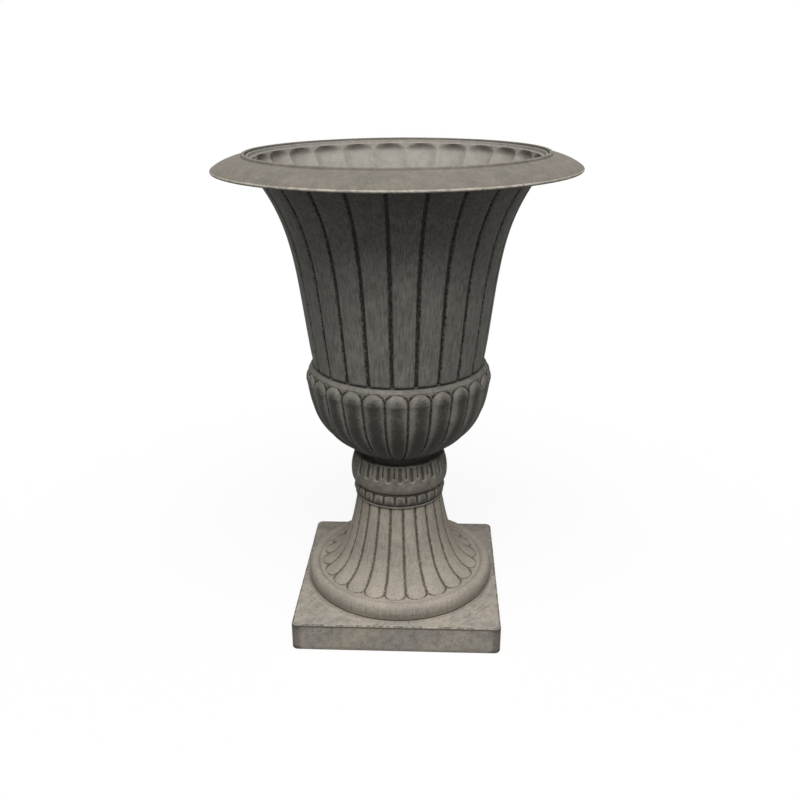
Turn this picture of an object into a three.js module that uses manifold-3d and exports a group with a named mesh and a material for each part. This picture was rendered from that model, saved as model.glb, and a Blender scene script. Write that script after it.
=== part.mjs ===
// Urn planter: a classical urn on a square plinth, moulded in shells that are bolted together at home.
//
// From the ground up it is a plinth, a petalled pedestal, a beaded neck collar, a gadrooned bowl, a staved bell and a
// rim ring. One centre bolt clamps bowl, collar and pedestal together, four screws hold the pedestal on the plinth and
// six hold the bell on the bowl. The rim ring snaps over the bell's mouth, and a rubber plug closes the drain.
//
// Millimetres, +Z up. The origin is the middle of the plinth's underside, and -Y is the front.
import * as THREE from 'three';
import { mergeVertices } from 'three/addons/utils/BufferGeometryUtils.js';
import Module from 'manifold-3d';

const wasm = await Module();
wasm.setup();

// ---- Driving dimensions ------------------------------------------------------------------------------------------

const WALL = 3; // moulded wall of every shell
const GAP = 0.3; // clearance where one piece meets another
const EDGE = 1; // softening of a moulded edge

// Fasteners and drain
const BOLT_RADIUS = 5;
const BOLT_HEAD_WIDTH = 17;
const BOLT_HEAD_HEIGHT = 6.5;
const BOLT_TAIL = 5; // bolt that shows below the wing nut
const HOLE_CLEARANCE = 0.3;
const WASHER_RADIUS = 14;
const WASHER_THICKNESS = 2;
const GASKET_RADIUS = 15;
const GASKET_THICKNESS = 2;
const WING_NUT_RADIUS = 8;
const WING_NUT_HEIGHT = 9;
const WING_SPAN = 17;
const WING_RISE = 15;
const WING_THICKNESS = 3;
const SCREW_RADIUS = 1.75;
const SCREW_POINT = 3; // length of the screw's point
const SCREW_HEAD_RADIUS = 3.6;
const SCREW_HEAD_HEIGHT = 2.4;
const SCREW_GRIP = 9; // thread that holds in a boss
const SCREW_LAND = 2.15; // flange left on each side of a screw's head
const PILOT_DEPTH = 2; // pilot hole that goes on past the screw's tip
const BOSS_RADIUS = 4.6;
const BELL_SCREW_COUNT = 6;
const BASE_SCREW_COUNT = 4;
const DRAIN_RADIUS = 8;
const PLUG_CLEARANCE = 0.5;
const PLUG_FLANGE_WIDTH = 1.7; // flange that lies on the floor round the drain
const PLUG_FLANGE_THICKNESS = 2.4;
const PLUG_TAIL = 2.5; // plug that shows under the bowl's floor
const PLUG_GRIP_HEIGHT = 11;
const PLUG_GRIP_RADIUS = 4.2;
const FLOOR_MARGIN = 0.8; // between the gasket, the plug and the foot of the bowl's wall

// Bowl: gadroons on a foot disc, with a flange that carries the bell
const BOWL_HEIGHT = 120.3;
const BOWL_FOOT_WALL = 6; // from the edge of the floor out to the foot disc's side
const BOWL_FOOT_HEIGHT = 7.4;
const BOWL_FLOOR = 5;
const BOWL_OVERHANG = 10.4; // the gadroons stand this far out from the bell's foot
const BOWL_WIDEST_DROP = 17.3; // from the bowl's top down to its widest point
const BOWL_SIDE_PULL = [6, 19.2]; // curve handle at the widest point: in and down
const BOWL_FOOT_PULL = [66.7, 31.6]; // curve handle at the foot: out and up
const GADROON_COUNT = 26;
const GADROON_PHASE = -5.5; // degrees from the front to one of the gaps
const GADROON_DEPTH = 4;
const LEDGE_WIDTH = 4.2; // plain band between the bell's foot and the gadroons
const LEDGE_EDGE = 1.2;
const JOINT_FLANGE_THICKNESS = 3.5;

// Bell: flat staves with a narrow groove between them, round-ended hollows inside
const BELL_HEIGHT = 239.4;
const BELL_FOOT_RADIUS = 101;
const BELL_THROAT_RADIUS = 156;
const BELL_THROAT_DROP = 21; // from the mouth down to the throat
const BELL_FOOT_PULL = [15, 92]; // curve handle at the foot: out and up
const BELL_THROAT_PULL = [44.2, 61.8]; // curve handle at the throat: in and down
const STAVE_COUNT = 24;
const STAVE_PHASE = -1.3;
const STAVE_GROOVE_DEPTH = 2.5;
const MOUTH_FLARE = 8.2; // from the throat's radius out to the mouth's
const SHOULDER_DROP = 5.3; // from the mouth down to the shoulder that the rim ring rests on
const SHOULDER_WIDTH = 4.3;
const SHOULDER_THICKNESS = 2.6;

// Rim ring: a lip round the mouth and a flange that slopes down to a rolled edge
const RIM_REACH = 38.1;
const RIM_DROP = 11.4; // from the rim ring's seat down to its outer edge
const RIM_EDGE_THICKNESS = 4.2;
const LIP_RISE = 2.2; // how far the lip stands above the bell's mouth
const LIP_WIDTH = 4;
const LIP_STEP = 2.8; // from the lip's top down to the crease outside it
const RIM_CREASE_PULL = [12, 2]; // curve handle at the crease: out and down
const RIM_EDGE_PULL = [8, 6.5]; // curve handle at the edge: in and up

// Neck collar: slots over a belly, and beads over a foot band
const COLLAR_HEIGHT = 56.2;
const COLLAR_DISH_DEPTH = 5.3; // the bowl's foot disc sits this far down in the top
const COLLAR_DISH_CLEARANCE = 1.2;
const COLLAR_RIM_WIDTH = 12.8; // from the foot disc out to the collar's top edge
const COLLAR_RIM_HEIGHT = 2;
const COLLAR_SEAT_WIDTH = 6;
const COLLAR_SEAT_THICKNESS = 5;
const COLLAR_BELLY_REACH = 4.3; // the belly stands out past the top edge
const COLLAR_BELLY_DROP = 23; // and its widest ring lies this far down
const COLLAR_NECK_INSET = 1.4;
const COLLAR_NECK_DROP = 36.5;
const COLLAR_BEAD_REACH = 0.4;
const COLLAR_BEAD_DROP = 45;
const COLLAR_BEAD_HALF_HEIGHT = 3.5;
const COLLAR_FOOT_INSET = 1.2;
const COLLAR_FOOT_BAND = 3.2;
const COLLAR_REPEATS = 25; // slots, and beads under them
const COLLAR_PHASE = 3.8;
const SLOT_DEPTH = 2;
const BEAD_GROOVE_DEPTH = 1.6;

// Pedestal: a trumpet of petals that ends in a half-round foot ring
const PEDESTAL_HEIGHT = 121.2; // from the plinth to the collar
const PEDESTAL_TOP_STEP = 1.6; // from the collar's foot in to the trumpet
const FLARE_REACH = 50.1; // from the top of the trumpet out to the petals' ends
const PETAL_END_HEIGHT = 21.7;
const PETAL_WAIST_PULL = [4.8, 58.5]; // curve handle at the top: out and down
const PETAL_END_PULL = [29.3, 3]; // curve handle at the foot ring: in and up
const PETAL_COUNT = 22;
const PETAL_PHASE = -9.2;
const PETAL_GROOVE_DEPTH = 1.8;
const FOOT_RING_WIDTH = 14.2; // from the petals' ends out to the ring's side
const FOOT_RING_RISE = 3.5; // its crest above the petals' ends
const FOOT_RING_NECK = 0.6; // how far the ring tucks back in above the cove
const PEDESTAL_WEB = 5; // plate across the top, which the centre bolt pulls against
const WEB_DRAIN_RADIUS = 6;
const WEB_DRAIN_COUNT = 4;
const SPIGOT_STEP = 9.2; // from the trumpet's top edge in to the ring that centres the collar
const SPIGOT_HEIGHT = 5;
const SPIGOT_THICKNESS = 3;
const SPIGOT_CLEARANCE = 0.6;

// Plinth: a square tray, open below, with a round rebate that the pedestal stands in
const PLINTH_HEIGHT = 35;
const PLINTH_BORDER = 3.8; // flat border between the cove and the plinth's side
const PLINTH_CORNER_RADIUS = 7;
const PLINTH_TOP_EDGE = 2.5; // rounding of the top edge
const PLINTH_FOOT_EDGE = 3.5; // rounding of the bottom edge
const PLINTH_WALL = 4;
const PLINTH_HEM_WIDTH = 5.5; // flat ring that the plinth rests on
const PLINTH_HEM_HEIGHT = 7;
const PLINTH_DECK_WIDTH = 21; // floor of the rebate, between its wall and the opening
const PLINTH_RIB_COUNT = 8;
const PLINTH_RIB_THICKNESS = 3;
const BASE_SCREW_INSET = 13; // from the rebate's wall in to the screws
const REBATE_DEPTH = 2;
const COVE_WIDTH = 4; // soft fillet that runs from the plinth's top up to the pedestal
const COVE_HEIGHT = 3.5;

// Facets
const PLAIN_SIDES = 40;
const RIM_SIDES = 48;
const CORE_SIDES = 24;
const SMALL_SIDES = 12;
const SCREW_SIDES = 8;

// ---- Materials ---------------------------------------------------------------------------------------------------

const finish = (color, roughness, metalness = 0) => new THREE.MeshStandardMaterial({ color, roughness, metalness });
const MATERIALS = {
  pale: finish('#8d867b', 0.75),
  mid: finish('#716d65', 0.72),
  dark: finish('#514f4a', 0.7),
  zinc: finish('#a9adb0', 0.35, 1),
  rubber: finish('#1d1d1d', 0.85),
};

// ---- Radii that pieces share -------------------------------------------------------------------------------------

const boltHole = BOLT_RADIUS + HOLE_CLEARANCE;
const screwHole = SCREW_RADIUS + HOLE_CLEARANCE;

// The bowl's floor is as wide as the gasket and the plug beside it need, and the neck below follows the floor.
const plugFlangeRadius = DRAIN_RADIUS + PLUG_FLANGE_WIDTH;
const drainPlace = GASKET_RADIUS + FLOOR_MARGIN + plugFlangeRadius;
const bowlFloorRadius = drainPlace + plugFlangeRadius + FLOOR_MARGIN;
const bowlFootRadius = bowlFloorRadius + BOWL_FOOT_WALL;
const dishRadius = bowlFootRadius + COLLAR_DISH_CLEARANCE;
const collarSeatBore = bowlFootRadius - COLLAR_SEAT_WIDTH;
const collarTopRadius = dishRadius + COLLAR_RIM_WIDTH;
const collarFootRadius = collarTopRadius - COLLAR_FOOT_INSET;
const pedestalTopRadius = collarFootRadius - PEDESTAL_TOP_STEP;
const spigotRadius = pedestalTopRadius - SPIGOT_STEP;
const petalEndRadius = pedestalTopRadius + FLARE_REACH;
const footRingRadius = petalEndRadius + FOOT_RING_WIDTH;
const footRingNeck = footRingRadius - FOOT_RING_NECK;
const rebateRadius = footRingNeck + GAP;
const coveRadius = rebateRadius + COVE_WIDTH;
const plinthHalf = coveRadius + PLINTH_BORDER;
const openingRadius = rebateRadius - PLINTH_DECK_WIDTH;
const baseScrewPlace = rebateRadius - BASE_SCREW_INSET;

// The joint's flanges are as wide as the heads of their screws need.
const bellInside = BELL_FOOT_RADIUS - WALL - STAVE_GROOVE_DEPTH;
const bellScrewPlace = bellInside - SCREW_LAND - SCREW_HEAD_RADIUS;
const jointBore = bellScrewPlace - SCREW_HEAD_RADIUS - SCREW_LAND;
const mouthRadius = BELL_THROAT_RADIUS + MOUTH_FLARE;
const shoulderRadius = mouthRadius + SHOULDER_WIDTH;

// ---- Heights of the stack ----------------------------------------------------------------------------------------

const deck = PLINTH_HEIGHT - REBATE_DEPTH; // floor of the plinth's rebate
const pedestalFoot = deck + GAP;
const collarFoot = pedestalFoot + PEDESTAL_HEIGHT + GAP;
const bowlFoot = collarFoot + COLLAR_HEIGHT - COLLAR_DISH_DEPTH + GAP;
const bellFoot = bowlFoot + BOWL_HEIGHT + GAP;
const rimSeat = bellFoot + BELL_HEIGHT - SHOULDER_DROP + GAP;

// ---- Rings and bodies --------------------------------------------------------------------------------------------

const radians = THREE.MathUtils.degToRad;

// One repeat of a pattern is a list of stops. `share` is the stop's place across the repeat, `face` is 1 on the raised
// panel and 0 in the groove, and `crown` is how far the panel's round end reaches there.
const stops = (...rows) => rows.map(([share, face, crown]) => ({ share, face, crown }));
const pattern = (count, phase, list) => ({ count, phase: radians(phase), stops: list });

const STAVES = pattern(STAVE_COUNT, STAVE_PHASE, stops([0, 0, 0], [0.06, 1, 0], [0.94, 1, 0]));
const STAVE_HOLLOWS = pattern(
  STAVE_COUNT, STAVE_PHASE, stops([0, 0, 0], [0.13, 0.85, 0.3], [0.3, 1, 0.85], [0.7, 1, 0.85], [0.87, 0.85, 0.3]),
);
const STAVE_BACKS = pattern(STAVE_COUNT, STAVE_PHASE, stops([0, 0, 0], [0.5, 1, 0]));
const GADROONS = pattern(
  GADROON_COUNT, GADROON_PHASE, stops([0, 0, 0], [0.16, 0.76, 0.6], [0.5, 1, 1], [0.84, 0.76, 0.6]),
);
const GADROON_BACKS = pattern(GADROON_COUNT, GADROON_PHASE, stops([0, 0, 0], [0.5, 1, 0]));
const PETALS = pattern(PETAL_COUNT, PETAL_PHASE, stops([0, 0, 0], [0.07, 1, 0], [0.93, 1, 0]));
const PETAL_ENDS = pattern(
  PETAL_COUNT, PETAL_PHASE, stops([0, 0, 0], [0.07, 1, 0], [0.3, 1, 0.9], [0.7, 1, 0.9], [0.93, 1, 0]),
);
const SLOTS = pattern(COLLAR_REPEATS, COLLAR_PHASE, stops([0.16, 0, 0], [0.25, 1, 0], [0.75, 1, 0], [0.84, 0, 0]));
const BEADS = pattern(COLLAR_REPEATS, COLLAR_PHASE, stops([0.4, 1, 0], [0.5, 0, 0], [0.6, 1, 0]));

function ringOf(repeat, placeOf) {
  const ring = [];
  for (let copy = 0; copy < repeat.count; copy++) {
    for (const stop of repeat.stops) {
      const angle = repeat.phase + ((copy + stop.share) / repeat.count) * 2 * Math.PI;
      const [radius, height] = placeOf(stop);
      ring.push(new THREE.Vector3(radius * Math.sin(angle), -radius * Math.cos(angle), height));
    }
  }
  return ring;
}

// A round ring, and a ring with a pattern cut straight in towards the axis
const plainPattern = (sides) => pattern(sides, 0, stops([0, 1, 0]));
const PLAIN = plainPattern(PLAIN_SIDES);
const round = (radius, height, sides = PLAIN_SIDES) => ringOf(plainPattern(sides), () => [radius, height]);
const cutRing = (radius, height, repeat, depth) =>
  ringOf(repeat, (stop) => [radius - depth * (1 - stop.face), height]);
const tip = (height) => [new THREE.Vector3(0, 0, height)];

// A ring on a profile curve that climbs from foot to top. `inset` puts it inside the curve, `depth` sinks the grooves,
// `reach` moves each stop along the curve by its crown, and `flush` keeps the whole ring at the grooves' level.
function ringOn(curve, share, repeat, { inset = 0, depth = 0, reach = 0, flush = false } = {}) {
  return ringOf(repeat, (stop) => {
    const at = THREE.MathUtils.clamp(share + reach * stop.crown, 0, 1);
    const point = curve.getPoint(at);
    const tangent = curve.getTangent(at);
    const back = inset + depth * (1 - (flush ? 0 : stop.face));
    return [point.x - back * tangent.y, point.y + back * tangent.x];
  });
}

const turn = (point) => (Math.atan2(point.x, -point.y) + 2 * Math.PI) % (2 * Math.PI);

// Joins two rings with a strip of triangles, whatever their counts: the side whose next vertex comes first steps on.
function zipRings(triangles, lower, upper) {
  let i = lower.length === 1 ? 1 : 0;
  let j = upper.length === 1 ? 1 : 0;
  const ahead = (ring, step) => {
    if (step >= ring.length) return Infinity;
    return step + 1 === ring.length ? ring[0].angle + 2 * Math.PI : ring[step + 1].angle;
  };
  while (i < lower.length || j < upper.length) {
    const a = lower[i % lower.length].index;
    const b = upper[j % upper.length].index;
    if (ahead(lower, i) <= ahead(upper, j)) {
      i += 1;
      triangles.push(a, lower[i % lower.length].index, b);
    } else {
      j += 1;
      triangles.push(a, upper[j % upper.length].index, b);
    }
  }
}

function signedVolume(positions, triangles) {
  const [a, b, c] = [new THREE.Vector3(), new THREE.Vector3(), new THREE.Vector3()];
  let volume = 0;
  for (let i = 0; i < triangles.length; i += 3) {
    a.fromArray(positions, triangles[i] * 3);
    b.fromArray(positions, triangles[i + 1] * 3);
    c.fromArray(positions, triangles[i + 2] * 3);
    volume += a.dot(b.cross(c)) / 6;
  }
  return volume;
}

// A closed body from rings. A shell's rings run up the outside and down the inside, and its last ring joins its first.
// A body whose first and last rings are tips on the axis is closed by them.
function bodyOf(rings) {
  const positions = [];
  const sorted = rings.map((ring) => {
    const entries = ring.map((point) => {
      positions.push(point.x, point.y, point.z);
      return { angle: turn(point), index: positions.length / 3 - 1 };
    });
    return entries.sort((one, other) => one.angle - other.angle);
  });
  const triangles = [];
  for (let i = 1; i < sorted.length; i++) zipRings(triangles, sorted[i - 1], sorted[i]);
  if (rings[0].length > 1) zipRings(triangles, sorted.at(-1), sorted[0]);
  if (signedVolume(positions, triangles) < 0) triangles.reverse();
  const geometry = new THREE.BufferGeometry();
  geometry.setAttribute('position', new THREE.Float32BufferAttribute(positions, 3));
  geometry.setIndex(triangles);
  return geometry;
}

function solidOf(geometry) {
  const bare = geometry.clone();
  bare.deleteAttribute('normal');
  bare.deleteAttribute('uv');
  const merged = mergeVertices(bare, 1e-4);
  return new wasm.Manifold(
    new wasm.Mesh({
      numProp: 3,
      vertProperties: Float32Array.from(merged.attributes.position.array),
      triVerts: Uint32Array.from(merged.index.array),
    }),
  );
}

function geometryOf(solid) {
  const mesh = solid.getMesh();
  const geometry = new THREE.BufferGeometry();
  geometry.setAttribute('position', new THREE.BufferAttribute(mesh.vertProperties, 3));
  geometry.setIndex(new THREE.BufferAttribute(mesh.triVerts, 1));
  return geometry;
}

const joined = (geometry, additions) =>
  geometryOf(additions.reduce((solid, piece) => solid.add(solidOf(piece)), solidOf(geometry)));
const cutBy = (geometry, cutters) =>
  geometryOf(cutters.reduce((solid, cutter) => solid.subtract(solidOf(cutter)), solidOf(geometry)));

// An upright cylinder between two heights, at a place `reach` from the axis
function post(radius, low, high, reach = 0, angle = 0, sides = SMALL_SIDES) {
  const geometry = new THREE.CylinderGeometry(radius, radius, high - low, sides);
  geometry.rotateX(Math.PI / 2);
  geometry.translate(reach * Math.sin(angle), -reach * Math.cos(angle), (low + high) / 2);
  return geometry;
}

const anglesRound = (count, phase = 0) =>
  Array.from({ length: count }, (_, index) => radians(phase) + (index / count) * 2 * Math.PI);
const bezier = (start, startPull, endPull, end) =>
  new THREE.CubicBezierCurve(...[start, startPull, endPull, end].map(([r, z]) => new THREE.Vector2(r, z)));

const bellScrewAngles = anglesRound(BELL_SCREW_COUNT, STAVE_PHASE + 180 / STAVE_COUNT);
const baseScrewAngles = anglesRound(BASE_SCREW_COUNT, 45);
const drainAngle = radians(90);

// ---- Plinth ------------------------------------------------------------------------------------------------------

// A square ring with round corners, `inset` from the plinth's sides
function squareRing(inset, height) {
  const smallestCorner = 1.5;
  const corner = Math.max(PLINTH_CORNER_RADIUS - inset, smallestCorner);
  const cornerPlace = (plinthHalf - inset - corner) * Math.SQRT2;
  const ring = [];
  for (let quarter = 0; quarter < 4; quarter++) {
    const diagonal = (quarter * Math.PI) / 2 + Math.PI / 4;
    for (const share of [0, 1 / 3, 2 / 3, 1]) {
      const angle = ((quarter + share) * Math.PI) / 2;
      const x = cornerPlace * Math.sin(diagonal) + corner * Math.sin(angle);
      const y = -cornerPlace * Math.cos(diagonal) - corner * Math.cos(angle);
      ring.push(new THREE.Vector3(x, y, height));
    }
  }
  return ring;
}

function makePlinth() {
  const underside = deck - PLINTH_WALL;
  const hem = PLINTH_FOOT_EDGE + PLINTH_HEM_WIDTH;
  const turning = 0.3; // share of a rounding at which its chord turns
  const body = bodyOf([
    squareRing(hem, 0),
    squareRing(PLINTH_FOOT_EDGE, 0),
    squareRing(PLINTH_FOOT_EDGE * turning, PLINTH_FOOT_EDGE * turning),
    squareRing(0, PLINTH_FOOT_EDGE),
    squareRing(0, PLINTH_HEIGHT - PLINTH_TOP_EDGE),
    squareRing(PLINTH_TOP_EDGE * turning, PLINTH_HEIGHT - PLINTH_TOP_EDGE * turning),
    squareRing(PLINTH_TOP_EDGE, PLINTH_HEIGHT),
    round(coveRadius, PLINTH_HEIGHT),
    round(rebateRadius + COVE_WIDTH * turning, PLINTH_HEIGHT + COVE_HEIGHT * turning),
    round(rebateRadius, PLINTH_HEIGHT + COVE_HEIGHT),
    round(rebateRadius, deck),
    round(openingRadius, deck),
    round(openingRadius, underside),
    squareRing(PLINTH_WALL, underside),
    squareRing(PLINTH_WALL, PLINTH_HEM_HEIGHT + PLINTH_HEM_WIDTH),
    squareRing(hem, PLINTH_HEM_HEIGHT),
  ]);
  const bite = 0.5; // how far a rib reaches into the walls that it joins
  const ribStart = openingRadius + EDGE;
  const ribDepth = underside - PLINTH_HEM_HEIGHT - PLINTH_HEM_WIDTH + bite;
  const ribs = anglesRound(PLINTH_RIB_COUNT, 180 / PLINTH_RIB_COUNT).map((angle) => {
    const slant = Math.max(Math.abs(Math.sin(angle)), Math.abs(Math.cos(angle)));
    const length = (plinthHalf - PLINTH_WALL + bite) / slant - ribStart;
    const rib = new THREE.BoxGeometry(PLINTH_RIB_THICKNESS, length, ribDepth);
    rib.translate(0, -(ribStart + length / 2), underside + bite - ribDepth / 2);
    rib.rotateZ(angle);
    return rib;
  });
  const holes = baseScrewAngles.map((angle) =>
    post(screwHole, underside - EDGE, deck + EDGE, baseScrewPlace, angle, SCREW_SIDES));
  return cutBy(joined(body, ribs), holes);
}

// ---- Pedestal ----------------------------------------------------------------------------------------------------

function makePedestal() {
  const top = [pedestalTopRadius, PEDESTAL_HEIGHT - EDGE];
  const end = [petalEndRadius, PETAL_END_HEIGHT];
  const flare = bezier(
    end, [end[0] - PETAL_END_PULL[0], end[1] + PETAL_END_PULL[1]],
    [top[0] + PETAL_WAIST_PULL[0], top[1] - PETAL_WAIST_PULL[1]], top,
  );
  const petalTip = 0.09; // share of the flare over which a petal's end is rounded
  const grooves = { depth: PETAL_GROOVE_DEPTH };
  const lining = (share) => ringOn(flare, share, PLAIN, { inset: WALL + PETAL_GROOVE_DEPTH });
  const ringTop = PETAL_END_HEIGHT + FOOT_RING_RISE;
  const ringCrest = petalEndRadius + FOOT_RING_WIDTH * 0.43;
  const coveTop = REBATE_DEPTH + COVE_HEIGHT;
  const belly = (ringTop + coveTop) / 2;
  const ringInside = footRingNeck - WALL - EDGE;
  const underWeb = PEDESTAL_HEIGHT - PEDESTAL_WEB;
  const spigotBore = spigotRadius - SPIGOT_THICKNESS;
  const core = (radius, height) => round(radius, height, CORE_SIDES);
  const body = bodyOf([
    tip(underWeb),
    core(spigotRadius, underWeb),
    ...[0.9, 0.55, 0.3, 0.12].map(lining),
    round(ringCrest, PETAL_END_HEIGHT - WALL),
    round(ringInside, belly),
    round(ringInside, 0),
    round(footRingNeck, 0),
    round(footRingNeck, coveTop),
    round(footRingRadius, belly - EDGE),
    round(footRingRadius - FOOT_RING_WIDTH * 0.06, belly + FOOT_RING_WIDTH * 0.35),
    round(footRingRadius - FOOT_RING_WIDTH * 0.25, ringTop - FOOT_RING_WIDTH * 0.2),
    round(ringCrest, ringTop),
    round(petalEndRadius + EDGE, PETAL_END_HEIGHT + GAP),
    ringOn(flare, petalTip, PETAL_ENDS, { ...grooves, reach: -petalTip, flush: true }),
    ringOn(flare, petalTip + 0.01, PETAL_ENDS, { ...grooves, reach: -petalTip }),
    ...[0.22, 0.42, 0.68, 1].map((share) => ringOn(flare, share, PETALS, grooves)),
    round(pedestalTopRadius - PETAL_GROOVE_DEPTH - EDGE / 2, PEDESTAL_HEIGHT),
    core(spigotRadius, PEDESTAL_HEIGHT),
    core(spigotRadius, PEDESTAL_HEIGHT + SPIGOT_HEIGHT),
    core(spigotBore, PEDESTAL_HEIGHT + SPIGOT_HEIGHT),
    core(spigotBore, PEDESTAL_HEIGHT),
    tip(PEDESTAL_HEIGHT),
  ]);
  const bosses = baseScrewAngles.map((angle) =>
    post(BOSS_RADIUS, 0, PETAL_END_HEIGHT - WALL / 3, baseScrewPlace, angle, SCREW_SIDES));
  const pilots = baseScrewAngles.map((angle) =>
    post(screwHole, -EDGE, SCREW_GRIP + SCREW_POINT + PILOT_DEPTH, baseScrewPlace, angle, SCREW_SIDES));
  const drainRing = (WASHER_RADIUS + spigotBore) / 2;
  const drains = anglesRound(WEB_DRAIN_COUNT, 45).map((angle) =>
    post(WEB_DRAIN_RADIUS, underWeb - EDGE, PEDESTAL_HEIGHT + EDGE, drainRing, angle));
  const boltWay = post(boltHole, underWeb - EDGE, PEDESTAL_HEIGHT + EDGE);
  return cutBy(joined(body, bosses), [...pilots, ...drains, boltWay]);
}

// ---- Neck collar -------------------------------------------------------------------------------------------------

function makeCollar() {
  const plain = (radius, height) => round(radius, height, COLLAR_REPEATS * 2);
  const inside = (radius, height) => round(radius, height, COLLAR_REPEATS);
  const bore = spigotRadius + SPIGOT_CLEARANCE;
  const seat = COLLAR_HEIGHT - COLLAR_DISH_DEPTH;
  const slotTop = COLLAR_HEIGHT - COLLAR_RIM_HEIGHT;
  const bellyRadius = collarTopRadius + COLLAR_BELLY_REACH;
  const belly = COLLAR_HEIGHT - COLLAR_BELLY_DROP;
  const neckRadius = collarTopRadius - COLLAR_NECK_INSET;
  const neck = COLLAR_HEIGHT - COLLAR_NECK_DROP;
  const beadRadius = collarTopRadius + COLLAR_BEAD_REACH;
  const bead = COLLAR_HEIGHT - COLLAR_BEAD_DROP;
  const slotFoot = belly + (slotTop - belly) * 0.31;
  const slotMiddle = belly + (slotTop - belly) * 0.69;
  return bodyOf([
    inside(bore, 0),
    plain(collarFootRadius, 0),
    plain(collarFootRadius, COLLAR_FOOT_BAND),
    plain(beadRadius - EDGE, bead - COLLAR_BEAD_HALF_HEIGHT - BEAD_GROOVE_DEPTH),
    cutRing(beadRadius, bead - COLLAR_BEAD_HALF_HEIGHT, BEADS, BEAD_GROOVE_DEPTH),
    cutRing(beadRadius, bead + COLLAR_BEAD_HALF_HEIGHT, BEADS, BEAD_GROOVE_DEPTH),
    plain(neckRadius, neck),
    plain((neckRadius + bellyRadius * 2) / 3, neck + (belly - neck) / 3),
    plain(bellyRadius, belly),
    cutRing(bellyRadius - EDGE / 2, slotFoot, SLOTS, SLOT_DEPTH / 2),
    cutRing(bellyRadius - COLLAR_BELLY_REACH * 0.42, slotMiddle, SLOTS, SLOT_DEPTH),
    cutRing(collarTopRadius + EDGE / 2, slotTop - EDGE, SLOTS, SLOT_DEPTH),
    plain(collarTopRadius, slotTop),
    plain(collarTopRadius, COLLAR_HEIGHT),
    plain(collarTopRadius - EDGE * 2, COLLAR_HEIGHT),
    inside(dishRadius, seat),
    inside(collarSeatBore, seat),
    inside(collarSeatBore, seat - COLLAR_SEAT_THICKNESS),
    inside(bore, seat - COLLAR_SEAT_THICKNESS * 2),
  ]);
}

// ---- Bowl --------------------------------------------------------------------------------------------------------

function makeBowl() {
  const widest = BELL_FOOT_RADIUS + BOWL_OVERHANG;
  const widestHeight = BOWL_HEIGHT - BOWL_WIDEST_DROP;
  const lobeFoot = [bowlFootRadius + EDGE * 2, BOWL_FOOT_HEIGHT + EDGE * 1.6];
  const side = bezier(
    lobeFoot, [lobeFoot[0] + BOWL_FOOT_PULL[0], lobeFoot[1] + BOWL_FOOT_PULL[1]],
    [widest - BOWL_SIDE_PULL[0], widestHeight - BOWL_SIDE_PULL[1]], [widest, widestHeight],
  );
  const ledge = BELL_FOOT_RADIUS + LEDGE_WIDTH;
  const lobeTop = BOWL_HEIGHT - EDGE * 1.5;
  const shoulder = new THREE.QuadraticBezierCurve(
    new THREE.Vector2(widest, widestHeight),
    new THREE.Vector2(widest, lobeTop - 3),
    new THREE.Vector2(ledge, lobeTop),
  );
  const onLedge = (radius, height) => round(radius, height, GADROON_COUNT * 2);
  const full = { depth: GADROON_DEPTH };
  const back = { inset: WALL, depth: GADROON_DEPTH };
  const flangeUnder = BOWL_HEIGHT - JOINT_FLANGE_THICKNESS;
  const body = bodyOf([
    tip(0),
    round(bowlFootRadius - EDGE, 0),
    round(bowlFootRadius, EDGE),
    round(bowlFootRadius, BOWL_FOOT_HEIGHT),
    ringOn(side, 0, GADROONS, { depth: GADROON_DEPTH * 0.3 }),
    ringOn(side, 0.12, GADROONS, { depth: GADROON_DEPTH * 0.6 }),
    ...[0.3, 0.55, 1].map((share) => ringOn(side, share, GADROONS, full)),
    ringOn(shoulder, 0.1, GADROONS, { ...full, reach: 0.55 }),
    ringOn(shoulder, 0.22, GADROONS, { inset: -EDGE / 2, depth: GADROON_DEPTH * 0.6, reach: 0.6, flush: true }),
    onLedge(ledge, BOWL_HEIGHT - LEDGE_EDGE),
    onLedge(ledge - LEDGE_EDGE, BOWL_HEIGHT),
    round(jointBore, BOWL_HEIGHT),
    round(jointBore, flangeUnder),
    onLedge(ledge - WALL * 2, flangeUnder),
    ...[1, 0.6, 0.3].map((share) => ringOn(side, share, GADROON_BACKS, back)),
    ringOn(side, 0.1, GADROON_BACKS, { inset: WALL, depth: GADROON_DEPTH * 0.6 }),
    round(bowlFloorRadius + EDGE * 2, BOWL_FLOOR + EDGE * 2),
    round(bowlFloorRadius, BOWL_FLOOR),
    tip(BOWL_FLOOR),
  ]);
  const bossFoot = flangeUnder - SCREW_GRIP - PILOT_DEPTH;
  const bosses = bellScrewAngles.map((angle) =>
    post(BOSS_RADIUS, bossFoot, flangeUnder + EDGE, bellScrewPlace, angle, SCREW_SIDES));
  const pilots = bellScrewAngles.map((angle) =>
    post(screwHole, bossFoot + EDGE, BOWL_HEIGHT + EDGE, bellScrewPlace, angle, SCREW_SIDES));
  const drain = post(DRAIN_RADIUS, -EDGE, BOWL_FLOOR + EDGE, drainPlace, drainAngle, CORE_SIDES);
  const boltWay = post(boltHole, -EDGE, BOWL_FLOOR + EDGE);
  return cutBy(joined(body, bosses), [...pilots, drain, boltWay]);
}

// ---- Bell --------------------------------------------------------------------------------------------------------

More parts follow.
